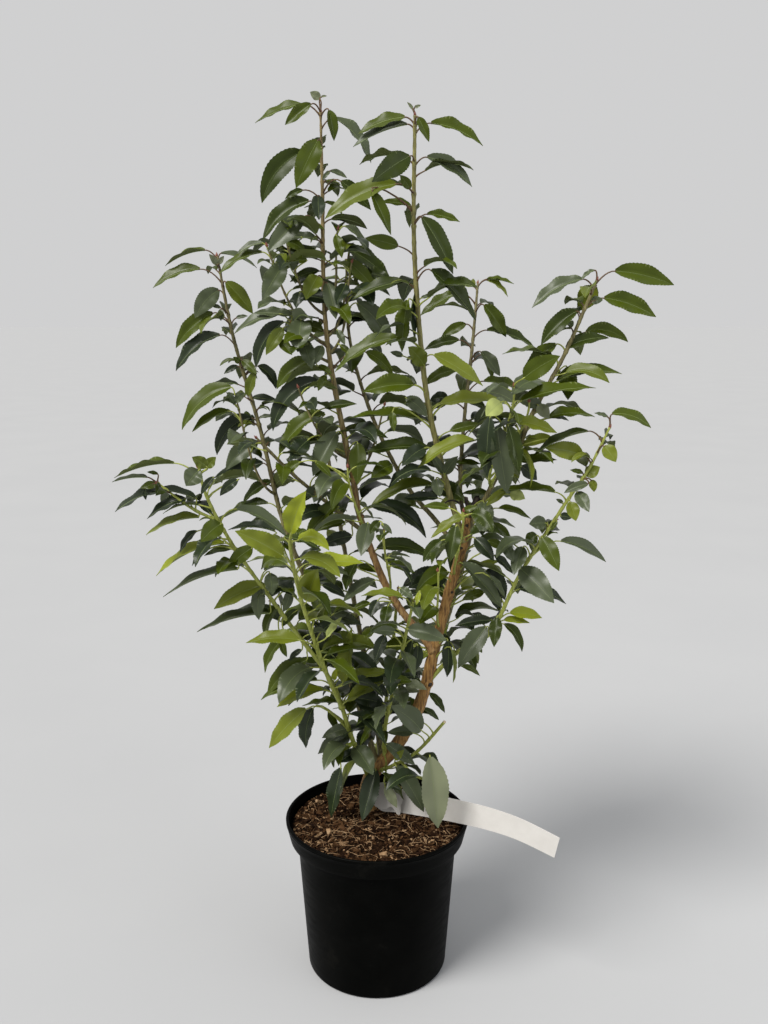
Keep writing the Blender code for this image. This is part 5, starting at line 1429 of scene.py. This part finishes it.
def strip(heap, rows, thick):
    """A thin closed strip from rows of (low edge, high edge, normal)."""
    co, faces = [], []
    m = 4
    for low_p, high_p, nrm in rows:
        for side in (0.5, -0.5):
            for i in range(m + 1):
                co.append(low_p.lerp(high_p, i / m) + nrm * thick * side)
    w = m + 1
    for k in range(len(rows) - 1):
        a, b = k * 2 * w, (k + 1) * 2 * w
        for i in range(m):
            faces.append((a + i, b + i, b + i + 1, a + i + 1))
            faces.append((a + w + i + 1, b + w + i + 1, b + w + i, a + w + i))
        faces.append((a, a + w, b + w, b))
        faces.append((a + m, b + m, b + w + m, a + w + m))
    a = 0
    faces.append(tuple([a + i for i in range(w)] + [a + w + i for i in reversed(range(w))]))
    a = (len(rows) - 1) * 2 * w
    faces.append(tuple([a + w + i for i in range(w)] + [a + i for i in reversed(range(w))]))
    heap.add(co, faces)


label_heap = Heap()
rows = []
steps = 60
for k in range(steps + 1):
    s = k / steps
    lean = math.radians(LABEL_LEAN[0] + (LABEL_LEAN[1] - LABEL_LEAN[0]) * s)
    p = label_line.point(s)
    ahead = (label_line.point(min(1.0, s + 0.02)) - label_line.point(max(0.0, s - 0.02))).normalized()
    side = ahead.cross(UP).normalized()
    up = side.cross(ahead).normalized()
    across = up * math.cos(lean) - side * math.sin(lean)
    w = LABEL_WIDTH * 0.5
    if s < 0.06:
        w *= 0.55 + 0.45 * math.sin(s / 0.06 * math.pi / 2)
    nrm = ahead.cross(across).normalized()
    rows.append((p - across * w, p + across * w, nrm))
strip(label_heap, rows, LABEL_THICK)
# its rounded head, bent round the foot of the trunk, with the pointed tail of its slot
HEAD = [(371, 787), (374, 784.5), (378, 783), (384, 782), (390, 784), (396, 788), (401, 793), (403, 799), (401, 806), (400.5, 812),
        (399.5, 818), (397, 814), (394.5, 809.5), (392, 807), (389.5, 807), (387, 809), (381, 809), (375.5, 806.5), (371, 802),
        (368.5, 797), (368.5, 791)]


def head_depth(px):
    return 0.0120 + 0.000006 * (px - 388) ** 2 * (1 if px < 388 else -0.6)


head_heap = Heap()
co, faces = [], []
for lift in (0.0, 0.0008):
    for f in (1.0, 0.66, 0.33):
        for px, py in HEAD:
            qx, qy = 385 + (px - 385) * f, 796 + (py - 796) * f
            co.append(place(qx, qy, head_depth(qx) + lift))
    co.append(place(385, 796, head_depth(385) + lift))
w, layer = len(HEAD), 3 * len(HEAD) + 1
for lay in (0, 1):
    o = lay * layer
    for ring in (0, 1):
        for k in range(w):
            j = (k + 1) % w
            f = (o + ring * w + k, o + ring * w + j, o + (ring + 1) * w + j, o + (ring + 1) * w + k)
            faces.append(f if lay == 0 else f[::-1])
    for k in range(w):
        j = (k + 1) % w
        f = (o + 2 * w + k, o + 2 * w + j, o + 3 * w)
        faces.append(f if lay == 0 else f[::-1])
for k in range(w):
    j = (k + 1) % w
    faces.append((k, layer + k, layer + j, j))
head_heap.add(co, faces)
head = head_heap.piece("label_head", [MAT_LABEL], "label_white")
head.data.set_sharp_from_angle(angle=math.radians(40))
label = label_heap.piece("label_strip", [MAT_LABEL], "label_white")
label.data.set_sharp_from_angle(angle=math.radians(30))
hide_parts("label")

# ------------------------------------------------------------ floor, light


def stage_material():
    m, nodes, links, b = new_material("floor_pale", (0.62, 0.62, 0.61), 0.95, 0.1)
    c = add_coords(nodes)
    n = add_noise(nodes, links, c, 3.0, 3.0)
    ramp = add_ramp(nodes, links, n.outputs["Fac"], [(0.3, (0.416, 0.422, 0.430)), (0.7, (0.427, 0.433, 0.440))])
    links.new(ramp.outputs["Color"], b.inputs["Base Color"])
    return m


floor_heap = Heap()
floor_mesh = bpy.data.meshes.new("floor")
floor_mesh.from_pydata([(-60, -60, 0), (60, -60, 0), (60, 60, 0), (-60, 60, 0)], [], [(0, 1, 2, 3)])
floor_mesh.materials.append(stage_material())
floor = bpy.data.objects.new("floor", floor_mesh)
bpy.context.scene.collection.objects.link(floor)

world = bpy.data.worlds.new("studio")
bpy.context.scene.world = world
world.use_nodes = True
bg = world.node_tree.nodes["Background"]
bg.inputs["Color"].default_value = (0.900, 0.900, 0.905, 1)
bg.inputs["Strength"].default_value = 0.70
bpy.context.scene.view_settings.view_transform = "Standard"


def area(name, at, to, size, watts, colour):
    data = bpy.data.lights.new(name, "AREA")
    data.shape = "RECTANGLE"
    data.size, data.size_y = size
    data.energy = watts
    data.color = colour
    obj = bpy.data.objects.new(name, data)
    obj.location = at
    obj.rotation_euler = (Vector(to) - Vector(at)).to_track_quat("-Z", "Y").to_euler()
    bpy.context.scene.collection.objects.link(obj)
    return obj


sun = bpy.data.lights.new("window", "SUN")
sun.energy = 3.6
sun.angle = math.radians(28)
sun.color = (1.0, 0.975, 0.94)
window = bpy.data.objects.new("window", sun)
window.rotation_euler = Vector((1.15, 1.0, -1.75)).to_track_quat("-Z", "Y").to_euler()
bpy.context.scene.collection.objects.link(window)
area("fill", (1.7, -1.2, 1.5), (0, 0, 0.5), (1.6, 1.6), 9, (0.93, 0.96, 1.0))

# ------------------------------------------------------------------- update
bpy.context.view_layer.update()
